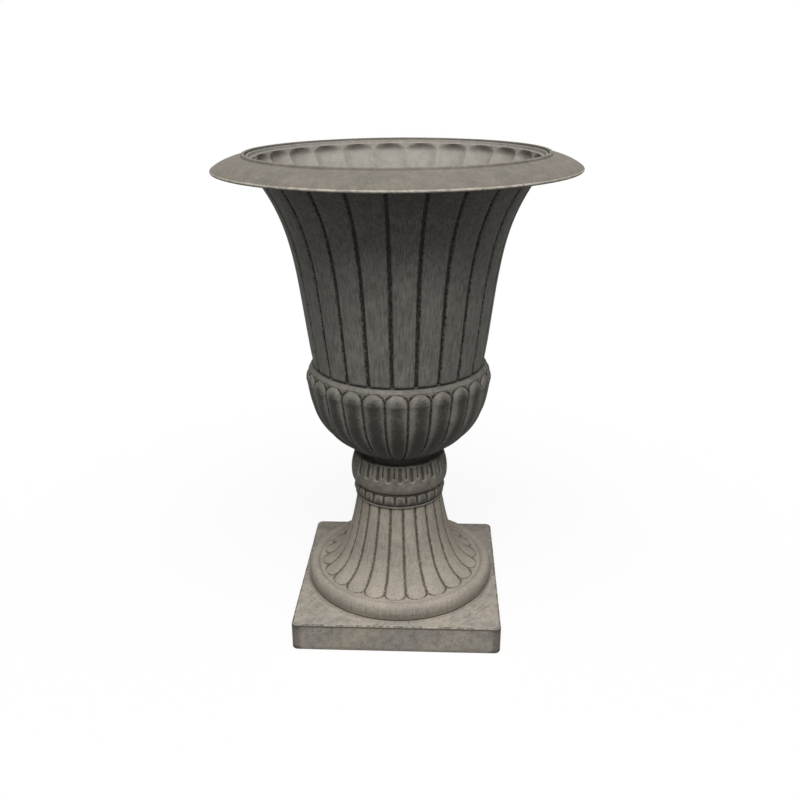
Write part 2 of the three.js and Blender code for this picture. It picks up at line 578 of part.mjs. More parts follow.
function makeBell() {
  const throat = [BELL_THROAT_RADIUS, BELL_HEIGHT - BELL_THROAT_DROP];
  const side = bezier(
    [BELL_FOOT_RADIUS, 0], [BELL_FOOT_RADIUS + BELL_FOOT_PULL[0], BELL_FOOT_PULL[1]],
    [throat[0] - BELL_THROAT_PULL[0], throat[1] - BELL_THROAT_PULL[1]], throat,
  );
  const slope = BELL_THROAT_PULL[1] / BELL_THROAT_PULL[0];
  const mouth = new THREE.QuadraticBezierCurve(
    new THREE.Vector2(...throat),
    new THREE.Vector2(mouthRadius, throat[1] + MOUTH_FLARE * slope),
    new THREE.Vector2(mouthRadius, BELL_HEIGHT),
  );
  const shoulderTop = BELL_HEIGHT - SHOULDER_DROP;
  const shoulderUnder = shoulderTop - SHOULDER_THICKNESS;
  const grooves = { depth: STAVE_GROOVE_DEPTH };
  const backs = { inset: WALL, depth: STAVE_GROOVE_DEPTH };
  const rim = (radius, height) => round(radius, height, RIM_SIDES);
  const body = bodyOf([
    round(jointBore, 0),
    cutRing(BELL_FOOT_RADIUS, 0, STAVES, STAVE_GROOVE_DEPTH),
    ...[0.22, 0.44, 0.64, 0.82, 1].map((share) => ringOn(side, share, STAVES, grooves)),
    ringOn(mouth, 0.25, STAVES, grooves),
    ringOn(mouth, 0.3, STAVES, { ...grooves, flush: true }),
    rim(mouthRadius - WALL * 0.6, shoulderUnder - EDGE),
    rim(shoulderRadius, shoulderUnder),
    rim(shoulderRadius, shoulderTop),
    rim(mouthRadius, shoulderTop),
    rim(mouthRadius, BELL_HEIGHT),
    rim(mouthRadius - WALL, BELL_HEIGHT),
    rim(mouthRadius - WALL * 1.2, shoulderTop),
    ringOn(mouth, 0.2, STAVE_HOLLOWS, { ...backs, reach: 0.22, flush: true }),
    ringOn(mouth, 0.12, STAVE_HOLLOWS, { ...backs, reach: 0.22 }),
    ...[1, 0.8, 0.6, 0.35].map((share) => ringOn(side, share, STAVE_BACKS, backs)),
    ringOn(side, 0.06, STAVE_BACKS, backs),
    round(bellInside, JOINT_FLANGE_THICKNESS),
    round(jointBore, JOINT_FLANGE_THICKNESS),
  ]);
  const holes = bellScrewAngles.map((angle) =>
    post(screwHole, -EDGE, JOINT_FLANGE_THICKNESS + EDGE, bellScrewPlace, angle, SCREW_SIDES));
  return cutBy(body, holes);
}

// ---- Rim ring ----------------------------------------------------------------------------------------------------

function makeRim() {
  const hem = mouthRadius + GAP;
  const lipTop = SHOULDER_DROP - GAP + LIP_RISE;
  const outer = mouthRadius + RIM_REACH;
  const crease = [hem + LIP_WIDTH + EDGE * 0.8, lipTop - LIP_STEP];
  const edge = [outer - EDGE, RIM_EDGE_THICKNESS - RIM_DROP - EDGE];
  const flange = bezier(
    crease, [crease[0] + RIM_CREASE_PULL[0], crease[1] - RIM_CREASE_PULL[1]],
    [edge[0] - RIM_EDGE_PULL[0], edge[1] + RIM_EDGE_PULL[1]], edge,
  );
  const rim = (radius, height) => round(radius, height, RIM_SIDES);
  const topside = (share) => rim(...flange.getPoint(share).toArray());
  const underside = (share) => {
    const point = flange.getPoint(share);
    const tangent = flange.getTangent(share);
    return rim(point.x + WALL * tangent.y, point.y - WALL * tangent.x);
  };
  return bodyOf([
    rim(hem, 0),
    rim(hem, lipTop - EDGE),
    rim(hem + EDGE, lipTop),
    rim(hem + LIP_WIDTH - EDGE, lipTop),
    rim(hem + LIP_WIDTH, lipTop - EDGE),
    ...[0, 0.3, 0.65, 1].map(topside),
    rim(outer, EDGE * 1.6 - RIM_DROP),
    rim(outer - EDGE, -RIM_DROP),
    rim(outer - RIM_EDGE_THICKNESS, -RIM_DROP),
    ...[0.65, 0.3].map(underside),
    rim(shoulderRadius + EDGE, 0),
  ]);
}

// ---- Fasteners and drain plug ------------------------------------------------------------------------------------

const small = (radius, height) => round(radius, height, SMALL_SIDES);

// A washer or gasket that stands on its own zero
const washer = (radius, thickness) =>
  bodyOf([small(boltHole, 0), small(radius, 0), small(radius, thickness), small(boltHole, thickness)]);

// Bolt with its head's underside at zero and its shank hanging down
function makeBolt(length) {
  const acrossCorners = BOLT_HEAD_WIDTH / Math.cos(Math.PI / 6);
  const head = post(acrossCorners / 2, 0, BOLT_HEAD_HEIGHT, 0, 0, 6);
  const shank = bodyOf([
    tip(-length),
    small(BOLT_RADIUS - EDGE, -length),
    small(BOLT_RADIUS, EDGE - length),
    small(BOLT_RADIUS, EDGE),
    tip(EDGE),
  ]);
  return joined(head, [shank]);
}

// Wing nut with its seat at zero and its wings below
function makeWingNut() {
  const root = WING_NUT_RADIUS - 2;
  const wing = new THREE.Shape();
  wing.moveTo(root, -1.5);
  wing.lineTo(WING_NUT_RADIUS + 1.5, -2.5);
  wing.quadraticCurveTo(WING_SPAN, -WING_RISE * 0.45, WING_SPAN, -WING_RISE * 0.8);
  wing.quadraticCurveTo(WING_SPAN, -WING_RISE, WING_SPAN - WING_THICKNESS, -WING_RISE);
  wing.quadraticCurveTo(WING_NUT_RADIUS + WING_THICKNESS, -WING_RISE, root, EDGE - WING_NUT_HEIGHT);
  wing.closePath();
  const wings = [0, Math.PI].map((angle) => {
    const geometry = new THREE.ExtrudeGeometry(wing, { depth: WING_THICKNESS, bevelEnabled: false, curveSegments: 3 });
    geometry.translate(0, 0, -WING_THICKNESS / 2);
    geometry.rotateX(Math.PI / 2);
    geometry.rotateZ(angle);
    return geometry;
  });
  const hub = bodyOf([
    tip(-WING_NUT_HEIGHT),
    small(WING_NUT_RADIUS * 0.8, -WING_NUT_HEIGHT),
    small(WING_NUT_RADIUS, -WING_NUT_HEIGHT / 4),
    small(WING_NUT_RADIUS, 0),
    tip(0),
  ]);
  return cutBy(joined(hub, wings), [post(boltHole, -WING_NUT_HEIGHT - EDGE, EDGE)]);
}

// Pan-head screw with its head's underside at zero; the base screws are turned head down
function makeScrew(length) {
  const ring = (radius, height) => round(radius, height, SCREW_SIDES);
  return bodyOf([
    tip(-length),
    ring(SCREW_RADIUS, SCREW_POINT - length),
    ring(SCREW_RADIUS, 0),
    ring(SCREW_HEAD_RADIUS, 0),
    ring(SCREW_HEAD_RADIUS, SCREW_HEAD_HEIGHT / 2),
    ring(SCREW_HEAD_RADIUS * 0.6, SCREW_HEAD_HEIGHT),
    tip(SCREW_HEAD_HEIGHT),
  ]);
}

// Rubber plug with its flange's underside at zero
function makePlug() {
  const barrel = DRAIN_RADIUS - PLUG_CLEARANCE;
  const stem = PLUG_GRIP_RADIUS * 0.6;
  const end = -BOWL_FLOOR - PLUG_TAIL;
  return bodyOf([
    tip(end),
    small(barrel - EDGE, end),
    small(barrel, end / 2),
    small(barrel, 0),
    small(plugFlangeRadius, 0),
    small(plugFlangeRadius - EDGE / 2, PLUG_FLANGE_THICKNESS),
    small(stem, PLUG_FLANGE_THICKNESS + EDGE),
    small(stem, PLUG_GRIP_HEIGHT - PLUG_GRIP_RADIUS),
    small(PLUG_GRIP_RADIUS, PLUG_GRIP_HEIGHT - EDGE * 2),
    small(stem, PLUG_GRIP_HEIGHT),
    tip(PLUG_GRIP_HEIGHT),
  ]);
}

// ---- Assembly ----------------------------------------------------------------------------------------------------

const urn = new THREE.Group();

function place(parent, name, geometry, material, height, reach = 0, angle = 0) {
  const mesh = new THREE.Mesh(geometry, material);
  mesh.name = name;
  mesh.position.set(reach * Math.sin(angle), -reach * Math.cos(angle), height);
  parent.add(mesh);
  return mesh;
}

place(urn, 'plinth', makePlinth(), MATERIALS.pale, 0);
place(urn, 'pedestal', makePedestal(), MATERIALS.pale, pedestalFoot);
place(urn, 'neck_collar', makeCollar(), MATERIALS.mid, collarFoot);
place(urn, 'bowl', makeBowl(), MATERIALS.dark, bowlFoot);
place(urn, 'bell', makeBell(), MATERIALS.dark, bellFoot);
place(urn, 'rim_ring', makeRim(), MATERIALS.pale, rimSeat);

// Centre bolt: its head, washer and gasket lie on the bowl's floor, its wing nut under the pedestal's web
const webUnderside = pedestalFoot + PEDESTAL_HEIGHT - PEDESTAL_WEB;
const gasketSeat = bowlFoot + BOWL_FLOOR + GAP;
const topWasherSeat = gasketSeat + GASKET_THICKNESS + GAP;
const boltSeat = topWasherSeat + WASHER_THICKNESS + GAP;
const lowerWasherSeat = webUnderside - GAP - WASHER_THICKNESS;
const wingNutSeat = lowerWasherSeat - GAP;
const boltLength = boltSeat - wingNutSeat + WING_NUT_HEIGHT + BOLT_TAIL;
const clamp = new THREE.Group();
urn.add(clamp);
place(clamp, 'bolt_gasket', washer(GASKET_RADIUS, GASKET_THICKNESS), MATERIALS.rubber, gasketSeat);
place(clamp, 'upper_washer', washer(WASHER_RADIUS, WASHER_THICKNESS), MATERIALS.zinc, topWasherSeat);
place(clamp, 'centre_bolt', makeBolt(boltLength), MATERIALS.zinc, boltSeat);
place(clamp, 'lower_washer', washer(WASHER_RADIUS, WASHER_THICKNESS), MATERIALS.zinc, lowerWasherSeat);
place(clamp, 'wing_nut', makeWingNut(), MATERIALS.zinc, wingNutSeat);

const bellScrewSeat = bellFoot + JOINT_FLANGE_THICKNESS + GAP;
const bellScrewLength = bellScrewSeat - bowlFoot - BOWL_HEIGHT + JOINT_FLANGE_THICKNESS + SCREW_GRIP;
bellScrewAngles.forEach((angle, index) => {
  const name = `bell_screw_${index + 1}`;
  place(urn, name, makeScrew(bellScrewLength), MATERIALS.zinc, bellScrewSeat, bellScrewPlace, angle);
});

const baseScrewSeat = deck - PLINTH_WALL - GAP;
const baseScrewLength = pedestalFoot - baseScrewSeat + SCREW_GRIP + SCREW_POINT;
baseScrewAngles.forEach((angle, index) => {
  const name = `base_screw_${index + 1}`;
  const screw = place(urn, name, makeScrew(baseScrewLength), MATERIALS.zinc, baseScrewSeat, baseScrewPlace, angle);
  screw.rotation.x = Math.PI;
});

place(urn, 'drain_plug', makePlug(), MATERIALS.rubber, bowlFoot + BOWL_FLOOR + GAP, drainPlace, drainAngle);

export default urn;
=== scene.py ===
# %% [markdown]
# # A moulded garden urn
#
# The urn is a planter of six thin shells that stand on each other: a square plinth, a petalled pedestal, a
# beaded neck collar, a gadrooned bowl, a fluted bell and a rim ring. It looks like old stone: light where a
# brush dragged paint over the high places, dark where it never reached.
#
# This lesson loads the measured frame of the urn first, because every visible piece has to sit exactly
# where its solid sits. All sizes below are the real ones, in millimetres, and MM turns them into Blender's
# metres.

# %% The frame
import math

import bmesh
import bpy
from mathutils import Matrix, Vector


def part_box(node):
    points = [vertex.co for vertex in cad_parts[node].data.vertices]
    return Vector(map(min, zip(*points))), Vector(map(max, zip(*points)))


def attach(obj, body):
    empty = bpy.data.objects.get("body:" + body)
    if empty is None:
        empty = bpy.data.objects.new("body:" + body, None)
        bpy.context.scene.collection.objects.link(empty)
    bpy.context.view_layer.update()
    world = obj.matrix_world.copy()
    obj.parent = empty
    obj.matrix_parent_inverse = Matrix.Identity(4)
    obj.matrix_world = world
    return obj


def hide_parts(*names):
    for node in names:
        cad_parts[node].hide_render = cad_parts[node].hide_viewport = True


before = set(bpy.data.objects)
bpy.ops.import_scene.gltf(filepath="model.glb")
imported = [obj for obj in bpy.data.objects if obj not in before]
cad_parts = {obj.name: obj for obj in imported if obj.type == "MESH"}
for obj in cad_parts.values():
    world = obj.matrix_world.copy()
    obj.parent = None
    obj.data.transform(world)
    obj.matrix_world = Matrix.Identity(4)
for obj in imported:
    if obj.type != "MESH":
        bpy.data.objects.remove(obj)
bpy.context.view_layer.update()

MM = 0.001

foot_height = {name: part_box(name)[0].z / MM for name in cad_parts}
top_height = {name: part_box(name)[1].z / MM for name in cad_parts}

# %% [markdown]
# ## The camera
#
# The camera was found by matching the plinth's corners, the rim's ellipse and the joint between bell and
# bowl with the photograph. It stands a metre in front of the urn, a little to the right, and looks down by
# about 21.5 degrees. A camera can be turned by angles or by its three axes. Axes are used here, because
# each angle then is one plain step.

# %% The camera
IMAGE_SIDE = 800  # pixels
FOCAL_PIXELS = 856.4
SENSOR = 36.0
CAMERA_PLACE = Vector((47.6, -968.0, 657.6)) * MM
CAMERA_PITCH = math.radians(21.54)
CAMERA_YAW = math.radians(2.73)
CAMERA_ROLL = math.radians(-0.42)


def make_camera():
    up = Vector((0, 0, 1))
    side = Vector((math.cos(CAMERA_YAW), math.sin(CAMERA_YAW), 0))
    level = Vector((-math.sin(CAMERA_YAW), math.cos(CAMERA_YAW), 0))
    forward = level * math.cos(CAMERA_PITCH) - up * math.sin(CAMERA_PITCH)
    head = up * math.cos(CAMERA_PITCH) + level * math.sin(CAMERA_PITCH)
    rolled_side = side * math.cos(CAMERA_ROLL) + head * math.sin(CAMERA_ROLL)
    rolled_head = head * math.cos(CAMERA_ROLL) - side * math.sin(CAMERA_ROLL)
    data = bpy.data.cameras.new("camera")
    data.sensor_width = SENSOR
    data.lens = FOCAL_PIXELS / IMAGE_SIDE * SENSOR
    camera = bpy.data.objects.new("camera", data)
    turn = Matrix((rolled_side, rolled_head, -forward)).transposed().to_4x4()
    camera.matrix_world = Matrix.Translation(CAMERA_PLACE) @ turn
    bpy.context.scene.collection.objects.link(camera)
    bpy.context.scene.camera = camera


make_camera()
print("lens in mm:", round(bpy.context.scene.camera.data.lens, 2))

# %% [markdown]
# ## Writing node trees as formulas
#
# Both the shapes and the finishes below are node trees. Wiring dozens of Math nodes one by one hides the
# idea, so a small class holds the end of a wire and adds a node for each operator. A formula in Python then
# becomes the same formula in nodes, for geometry and for materials alike.

# %% Wires and nodes


class Wire:
    """One output of a node. Arithmetic on it adds Math nodes to the same tree."""

    def __init__(self, tree, socket):
        self.tree = tree
        self.socket = socket

    def math(self, operation, *others, clamp=False):
        return add_node(self.tree, "ShaderNodeMath", [self, *others], operation=operation, use_clamp=clamp)

    def __add__(self, other):
        return self.math("ADD", other)

    def __sub__(self, other):
        return self.math("SUBTRACT", other)

    def __rsub__(self, other):
        return self.math("MULTIPLY", -1).math("ADD", other)

    def __mul__(self, other):
        return self.math("MULTIPLY", other)

    def __truediv__(self, other):
        return self.math("DIVIDE", other)

    def __rtruediv__(self, other):
        return self.math("POWER", -1.0) * other

    __radd__ = __add__
    __rmul__ = __mul__

    def clamp(self):
        return self.math("ADD", 0.0, clamp=True)

    def smooth(self, low, high, from_value=0.0, to_value=1.0):
        """A soft step from from_value at low to to_value at high."""
        inputs = {"Value": self, "From Min": low, "From Max": high, "To Min": from_value, "To Max": to_value}
        return add_node(self.tree, "ShaderNodeMapRange", inputs, interpolation_type="SMOOTHSTEP")


def add_node(tree, kind, inputs=(), output=0, **settings):
    """Adds a node, fills its inputs by place or by name, and returns one of its outputs as a Wire."""
    node = tree.nodes.new(kind)
    for setting, value in settings.items():
        setattr(node, setting, value)
    for place, value in inputs.items() if isinstance(inputs, dict) else enumerate(inputs):
        if isinstance(value, Wire):
            tree.links.new(value.socket, node.inputs[place])
        else:
            node.inputs[place].default_value = value
    return Wire(tree, node.outputs[output])


def new_tree(name, kind, inputs, outputs):
    """A node group with named inputs and outputs. Returns the tree and its inputs as wires."""
    tree = bpy.data.node_groups.new(name, kind)
    for label, (socket_type, default) in inputs.items():
        socket = tree.interface.new_socket(name=label, in_out="INPUT", socket_type=socket_type)
        if default is not None:
            socket.default_value = default
    for label, socket_type in outputs.items():
        tree.interface.new_socket(name=label, in_out="OUTPUT", socket_type=socket_type)
    source = tree.nodes.new("NodeGroupInput")
    return tree, {label: Wire(tree, source.outputs[label]) for label in inputs}


def close_tree(tree, values):
    """Wires the group's outputs."""
    sink = tree.nodes.new("NodeGroupOutput")
    for label, wire in values.items():
        tree.links.new(wire.socket, sink.inputs[label])


FLOAT, INTEGER = "NodeSocketFloat", "NodeSocketInt"
SHAPE_OUTPUT = {"Geometry": "NodeSocketGeometry"}

# %% [markdown]
# ## The panel: one rule for staves, gadroons, petals, slots and beads
#
# Every pattern on this urn is a ring of equal panels with a gap between them. A panel is a long shape whose
# ends may be round, so its rule is the distance from a point to the panel's outline: positive inside it,
# negative in the gap. One small group works that out, and every shell uses it with its own numbers. `Edge`
# is how wide the slope at the outline is, `Crown` makes the panel round like a sausage in place of flat,
# and the round ends are stretched by `Round`. `Outlined` leaves only a line round each panel and brings the
# surface back up beyond it. `Sunk` turns panels into pits. `Twist` winds a single panel up the shape like a
# screw's thread, which is how the bolt gets its own.
#
# The group also says where paint would gather: `Groove` fades out from the middle of a groove, `Pit` is the
# inside of a sunk panel and `Crest` is the top of a raised one. `Soot` says how much of these marks a band
# of panels leaves.

# %% The panel group
PANEL_INPUTS = {
    "Count": (FLOAT, 24.0),
    "Phase": (FLOAT, 0.0),
    "Start": (FLOAT, 0.0),
    "End": (FLOAT, 0.0),
    "Start round": (FLOAT, 0.001),
    "End round": (FLOAT, 0.001),
    "Gap": (FLOAT, 0.001),
    "Edge": (FLOAT, 0.001),
    "Crown": (FLOAT, 0.0),
    "Depth": (FLOAT, 0.0),
    "Fade in": (FLOAT, 0.00001),
    "Fade out": (FLOAT, 0.00001),
    "Sunk": (FLOAT, 0.0),
    "Outlined": (FLOAT, 0.0),
    "Twist": (FLOAT, 0.0),
    "Soot": (FLOAT, 1.0),
}
FADE_FLOOR = 0.3  # share of the depth that is left where a pattern fades out
FADED_SOOT = 0.25  # how much of the groove attribute goes with it
CREST_SHIFT_FOR_SIDE_LIGHT = 0.05  # how far the crest patina lies to one side, as a share of the pitch: painted light on the other side
CREST_REACH = 0.42  # share of a pitch from the crest to where it falls to nothing
GROOVE_REACH = 5.0 * MM  # how far from a groove's middle the groove attribute falls to nothing


def make_panel_group():
    place = {"Angle": (FLOAT, 0.0), "Radius": (FLOAT, 0.1), "Along": (FLOAT, 0.0), "Ragged": (FLOAT, 0.0)}
    outputs = {"Offset": FLOAT, "Groove": FLOAT, "Pit": FLOAT, "Crest": FLOAT}
    tree, given = new_tree("panel", "GeometryNodeTree", {**place, **PANEL_INPUTS}, outputs)
    turns = (given["Angle"] - given["Phase"]) * given["Count"] / math.tau + given["Along"] * given["Twist"]
    signed = turns.math("FRACT") - 0.5
    across = signed.math("ABSOLUTE")
    pitch = given["Radius"] * math.tau / given["Count"]
    half = pitch * 0.5 - given["Gap"]
    beyond_start = pitch * 0.5 - (given["Along"] - given["Start"]) / given["Start round"]
    beyond_end = pitch * 0.5 - (given["End"] - given["Along"]) / given["End round"]
    beyond = beyond_start.math("MAXIMUM", beyond_end).math("MAXIMUM", 0.0)
    sideways = across * pitch
    from_spine = (sideways * sideways + beyond * beyond).math("SQRT")
    distance = half - from_spine + given["Ragged"]

    flat = distance.smooth(0.0, given["Edge"])
    inward = 1.0 - (distance / half).clamp()
    sausage = (1.0 - inward * inward).math("MAXIMUM", 0.0).math("SQRT")
    panel_height = flat * (1.0 - given["Crown"]) + sausage * given["Crown"]
    past_line = (distance * -1.0 - given["Gap"]).smooth(0.0, given["Edge"]) * given["Outlined"]
    height = panel_height.math("MAXIMUM", past_line)

    past_start = given["Along"].math("GREATER_THAN", given["Start"])
    inside = past_start * given["Along"].math("LESS_THAN", given["End"])
    fade_in = (given["Along"] - given["Start"]).smooth(0.0, given["Fade in"], FADE_FLOOR, 1.0)
    fade_out = (given["End"] - given["Along"]).smooth(0.0, given["Fade out"], FADE_FLOOR, 1.0)
    depth = given["Depth"] * fade_in * fade_out * inside
    raised = 1.0 - given["Sunk"]
    drop = height * given["Sunk"] + (1.0 - height) * raised

    from_line = distance + given["Gap"]
    off_line = from_line.math("ABSOLUTE")
    faded = fade_in * fade_out * FADED_SOOT + (1.0 - FADED_SOOT)
    sooted = given["Depth"].math("GREATER_THAN", 0.0) * inside * given["Soot"] * faded
    groove = (1.0 - off_line / GROOVE_REACH).clamp() * raised * sooted
    pit = flat * given["Sunk"] * sooted
    off_crest = (signed - CREST_SHIFT_FOR_SIDE_LIGHT) / CREST_REACH
    crest = (1.0 - off_crest * off_crest).clamp() * flat * raised * sooted
    close_tree(tree, {"Offset": depth * drop * -1.0, "Groove": groove, "Pit": pit, "Crest": crest})
    return tree


panel_group = make_panel_group()
print("panel group:", len(panel_group.nodes), "nodes")

# %% [markdown]
# ## The moulded ring: an outline swept round the axis
#
# Each shell is an outline turned about the urn's axis, which a Screw or Spin could do. But the patterns
# have to cut into it along its own surface, and the grooves need more columns than the plain stretches. So
# the tree starts from a flat grid, gives each column an angle and each row a point of the outline, and
# pushes every point in by what the panels say. Columns crowd together at the grooves. A `Squareness` on
# each point of the outline lets the same tree turn a round row into the plinth's square one, or into a
# bolt's hexagon, and `Corner soot` lets grime gather at the upright corners of a square. Merging the points
# that meet closes the seam and the poles.

# %% What the ring tree is given
BANDS = ("First", "Second", "Third")
RING_INPUTS = {
    "Profile": ("NodeSocketObject", None),
    "Material": ("NodeSocketMaterial", None),
    "Columns": (INTEGER, 480),
    "Crowding": (FLOAT, 0.0),
    "Crowded repeats": (FLOAT, 1.0),
    "Crowded phase": (FLOAT, 0.0),
    "Sides": (FLOAT, 4.0),
    "Corner": (FLOAT, 0.007),
    "Corner soot": (FLOAT, 0.0),
    "Wobble": (FLOAT, 0.0),
    "Wave": (FLOAT, 0.0),
    "Wobble scale": (FLOAT, 30.0),
    "Ragged": (FLOAT, 0.0),
    "Ragged scale": (FLOAT, 220.0),
    "Seed": (FLOAT, 1.0),
    **{f"{band} {label}": settings for band in BANDS for label, settings in PANEL_INPUTS.items()},
}
SEAM = 0.01 * MM
WOBBLE_RADIUS = 100 * MM  # where a wobble moves the wall by its full amount
CORNER_START, CORNER_END = 1.33, 1.38  # reach over radius where a square's corner soot starts and is full
print("inputs of the ring tree:", len(RING_INPUTS))

# %% Sampling, noise and polygons


def sample(tree, geometry, field, row, data_type="FLOAT"):
    inputs = {"Geometry": geometry, "Value": field, "Index": row}
    return add_node(tree, "GeometryNodeSampleIndex", inputs, data_type=data_type)


def noise(tree, place, scale, seed, detail=2.0):
    """Noise from -1 to 1."""
    inputs = {"Vector": place, "W": seed, "Scale": scale, "Detail": detail}
    return (add_node(tree, "ShaderNodeTexNoise", inputs, noise_dimensions="4D") - 0.5) * 2.0


def polygon_radius(radius, angle, sides, corner):
    """Distance from the axis to a polygon with round corners, towards angle. radius is to its flats."""
    half = math.pi / sides.math("MAXIMUM", 3.0)
    from_flat = ((angle / (half * 2.0) + 0.5).math("FRACT") - 0.5).math("ABSOLUTE") * half * 2.0
    from_corner = half - from_flat
    reach = (radius - corner) / half.math("COSINE")
    across = reach * from_corner.math("SINE")
    bend = (corner * corner - across * across).math("MAXIMUM", 0.0).math("SQRT")
    round_part = reach * from_corner.math("COSINE") + bend
    sideways = radius * from_flat.math("TANGENT")
    on_corner = sideways.math("GREATER_THAN", (radius - corner) * half.math("TANGENT"))
    return radius / from_flat.math("COSINE") * (1.0 - on_corner) + round_part * on_corner


# %% The moulded ring tree


def make_ring_tree():
    tree, given = new_tree("moulded_ring", "GeometryNodeTree", RING_INPUTS, SHAPE_OUTPUT)
    tree.is_modifier = True
    outline = add_node(tree, "GeometryNodeObjectInfo", [given["Profile"]], output="Geometry")
    rows = add_node(tree, "GeometryNodeAttributeDomainSize", [outline], "Point Count", component="CURVE")
    grid_inputs = {"Size X": 1.0, "Size Y": 1.0, "Vertices X": given["Columns"] + 1, "Vertices Y": rows}
    grid = add_node(tree, "GeometryNodeMeshGrid", grid_inputs)
    index = add_node(tree, "GeometryNodeInputIndex")
    column = (index / rows).math("FLOOR")
    row = index - column * rows

    share = column / given["Columns"] * given["Crowded repeats"]
    cell = share.math("FRACT")
    crowded = cell - given["Crowding"] * (cell * math.tau).math("SINE") / math.tau
    angle = (share - cell + crowded) / given["Crowded repeats"] * math.tau + given["Crowded phase"]

    place = sample(tree, outline, add_node(tree, "GeometryNodeInputPosition"), row, "FLOAT_VECTOR")
    tangent = sample(tree, outline, add_node(tree, "GeometryNodeInputTangent"), row, "FLOAT_VECTOR")
    along = sample(tree, outline, add_node(tree, "GeometryNodeSplineParameter", output="Length"), row)
    squareness = sample(tree, outline, add_node(tree, "GeometryNodeInputRadius"), row)
    wear = sample(tree, outline, add_node(tree, "GeometryNodeInputCurveTilt"), row)
    radius = add_node(tree, "ShaderNodeSeparateXYZ", [place], output="X")
    height = add_node(tree, "ShaderNodeSeparateXYZ", [place], output="Z")
    tangent_out = add_node(tree, "ShaderNodeSeparateXYZ", [tangent], output="X")
    tangent_up = add_node(tree, "ShaderNodeSeparateXYZ", [tangent], output="Z")

    polygon = polygon_radius(radius, angle, given["Sides"], given["Corner"])
    true_reach = radius + (polygon - radius) * squareness
    cornered = (polygon / radius).smooth(CORNER_START, CORNER_END) * squareness * tangent_up * tangent_up
    wear = wear - cornered * given["Corner soot"]
    sine, cosine = angle.math("SINE"), angle.math("COSINE") * -1.0
    true_place = add_node(tree, "ShaderNodeCombineXYZ", [true_reach * sine, true_reach * cosine, height])
    swell = noise(tree, true_place, given["Wobble scale"], given["Seed"]) * given["Wobble"] / WOBBLE_RADIUS
    reach = true_reach * (swell + 1.0)
    level = height + noise(tree, true_place, given["Wobble scale"], given["Seed"] + 1.0) * given["Wave"]

    ragged = noise(tree, true_place, given["Ragged scale"], given["Seed"], 3.0) * given["Ragged"]
    offset = None
    marks = {"Groove": None, "Pit": None, "Crest": None}
    for band in BANDS:
        inputs = {label: given[f"{band} {label}"] for label in PANEL_INPUTS}
        inputs |= {"Angle": angle, "Radius": radius, "Along": along, "Ragged": ragged}
        panel_offset = add_node(tree, "GeometryNodeGroup", inputs, "Offset", node_tree=panel_group)
        panel = panel_offset.socket.node
        offset = offset + panel_offset if offset else panel_offset
        for label, value in marks.items():
            mark = Wire(tree, panel.outputs[label])
            marks[label] = value.math("MAXIMUM", mark) if value else mark

    moved = reach + offset * tangent_up
    final_place = add_node(
        tree, "ShaderNodeCombineXYZ", [moved * sine, moved * cosine, level - offset * tangent_out])
    shell = add_node(tree, "GeometryNodeSetPosition", {"Geometry": grid, "Position": final_place})
    # the pen's wear value also carries painted highlights (above zero) and painted shade (below zero)
    stored = {"wear": wear, **{label.lower(): mark for label, mark in marks.items()}}
    for name, wire in stored.items():
        shell = add_node(
            tree, "GeometryNodeStoreNamedAttribute", {"Geometry": shell, "Name": name, "Value": wire},
            data_type="FLOAT", domain="POINT")
    shell = add_node(tree, "GeometryNodeMergeByDistance", {"Geometry": shell, "Distance": SEAM})
    shell = add_node(tree, "GeometryNodeSetShadeSmooth", {"Geometry": shell, "Shade Smooth": True})
    shell = add_node(tree, "GeometryNodeRealizeInstances", {"Geometry": shell})
    shell = add_node(tree, "GeometryNodeSetMaterial", {"Geometry": shell, "Material": given["Material"]})
    close_tree(tree, {"Geometry": shell})
    return tree


ring_tree = make_ring_tree()
print("moulded ring:", len(ring_tree.nodes), "nodes")

# %% [markdown]
# ## Turning a tree into a plain mesh
#
# A live modifier would be evaluated again in every view, and the export wants real meshes. So each piece is
# evaluated once, its result becomes its mesh, and the modifier goes. Normals are then turned outwards,
# which only works on a closed shell, so the helper also counts open edges and says so.

# %% Growing a piece


def link(piece):
    bpy.context.scene.collection.objects.link(piece)
    return piece


def face_outwards(piece):
    """Turns a closed mesh's faces outwards and returns how many of its edges are open."""
    mesh = bmesh.new()
    mesh.from_mesh(piece.data)
    bmesh.ops.recalc_face_normals(mesh, faces=mesh.faces)
    if mesh.calc_volume(signed=True) < 0:
        bmesh.ops.reverse_faces(mesh, faces=mesh.faces)
    open_edges = sum(1 for edge in mesh.edges if not edge.is_manifold)
    mesh.to_mesh(piece.data)
    mesh.free()
    return open_edges


def bake_modifiers(piece):
    """Makes the evaluated shape the piece's own mesh and removes its modifiers."""
    bpy.context.view_layer.update()
    depsgraph = bpy.context.evaluated_depsgraph_get()
    result = bpy.data.meshes.new_from_object(
        piece.evaluated_get(depsgraph), preserve_all_data_layers=True, depsgraph=depsgraph)
    piece.modifiers.clear()
    spare = piece.data
    piece.data = result
    result.name = piece.name
    bpy.data.meshes.remove(spare)


def grow(name, tree, values):
    """An empty mesh with the tree on it, its inputs set by their identifiers, made into a plain mesh."""
    piece = link(bpy.data.objects.new(name, bpy.data.meshes.new(name)))
    modifier = piece.modifiers.new("shape", "NODES")
    modifier.node_group = tree
    sockets = [item for item in tree.interface.items_tree if item.item_type == "SOCKET"]
    identifiers = {item.name: item.identifier for item in sockets if item.in_out == "INPUT"}
    for label, value in values.items():
        modifier[identifiers[label]] = value
    bake_modifiers(piece)
    open_edges = face_outwards(piece)
    print(f"{name}: {len(piece.data.polygons)} faces, {open_edges} open edges")
    return piece
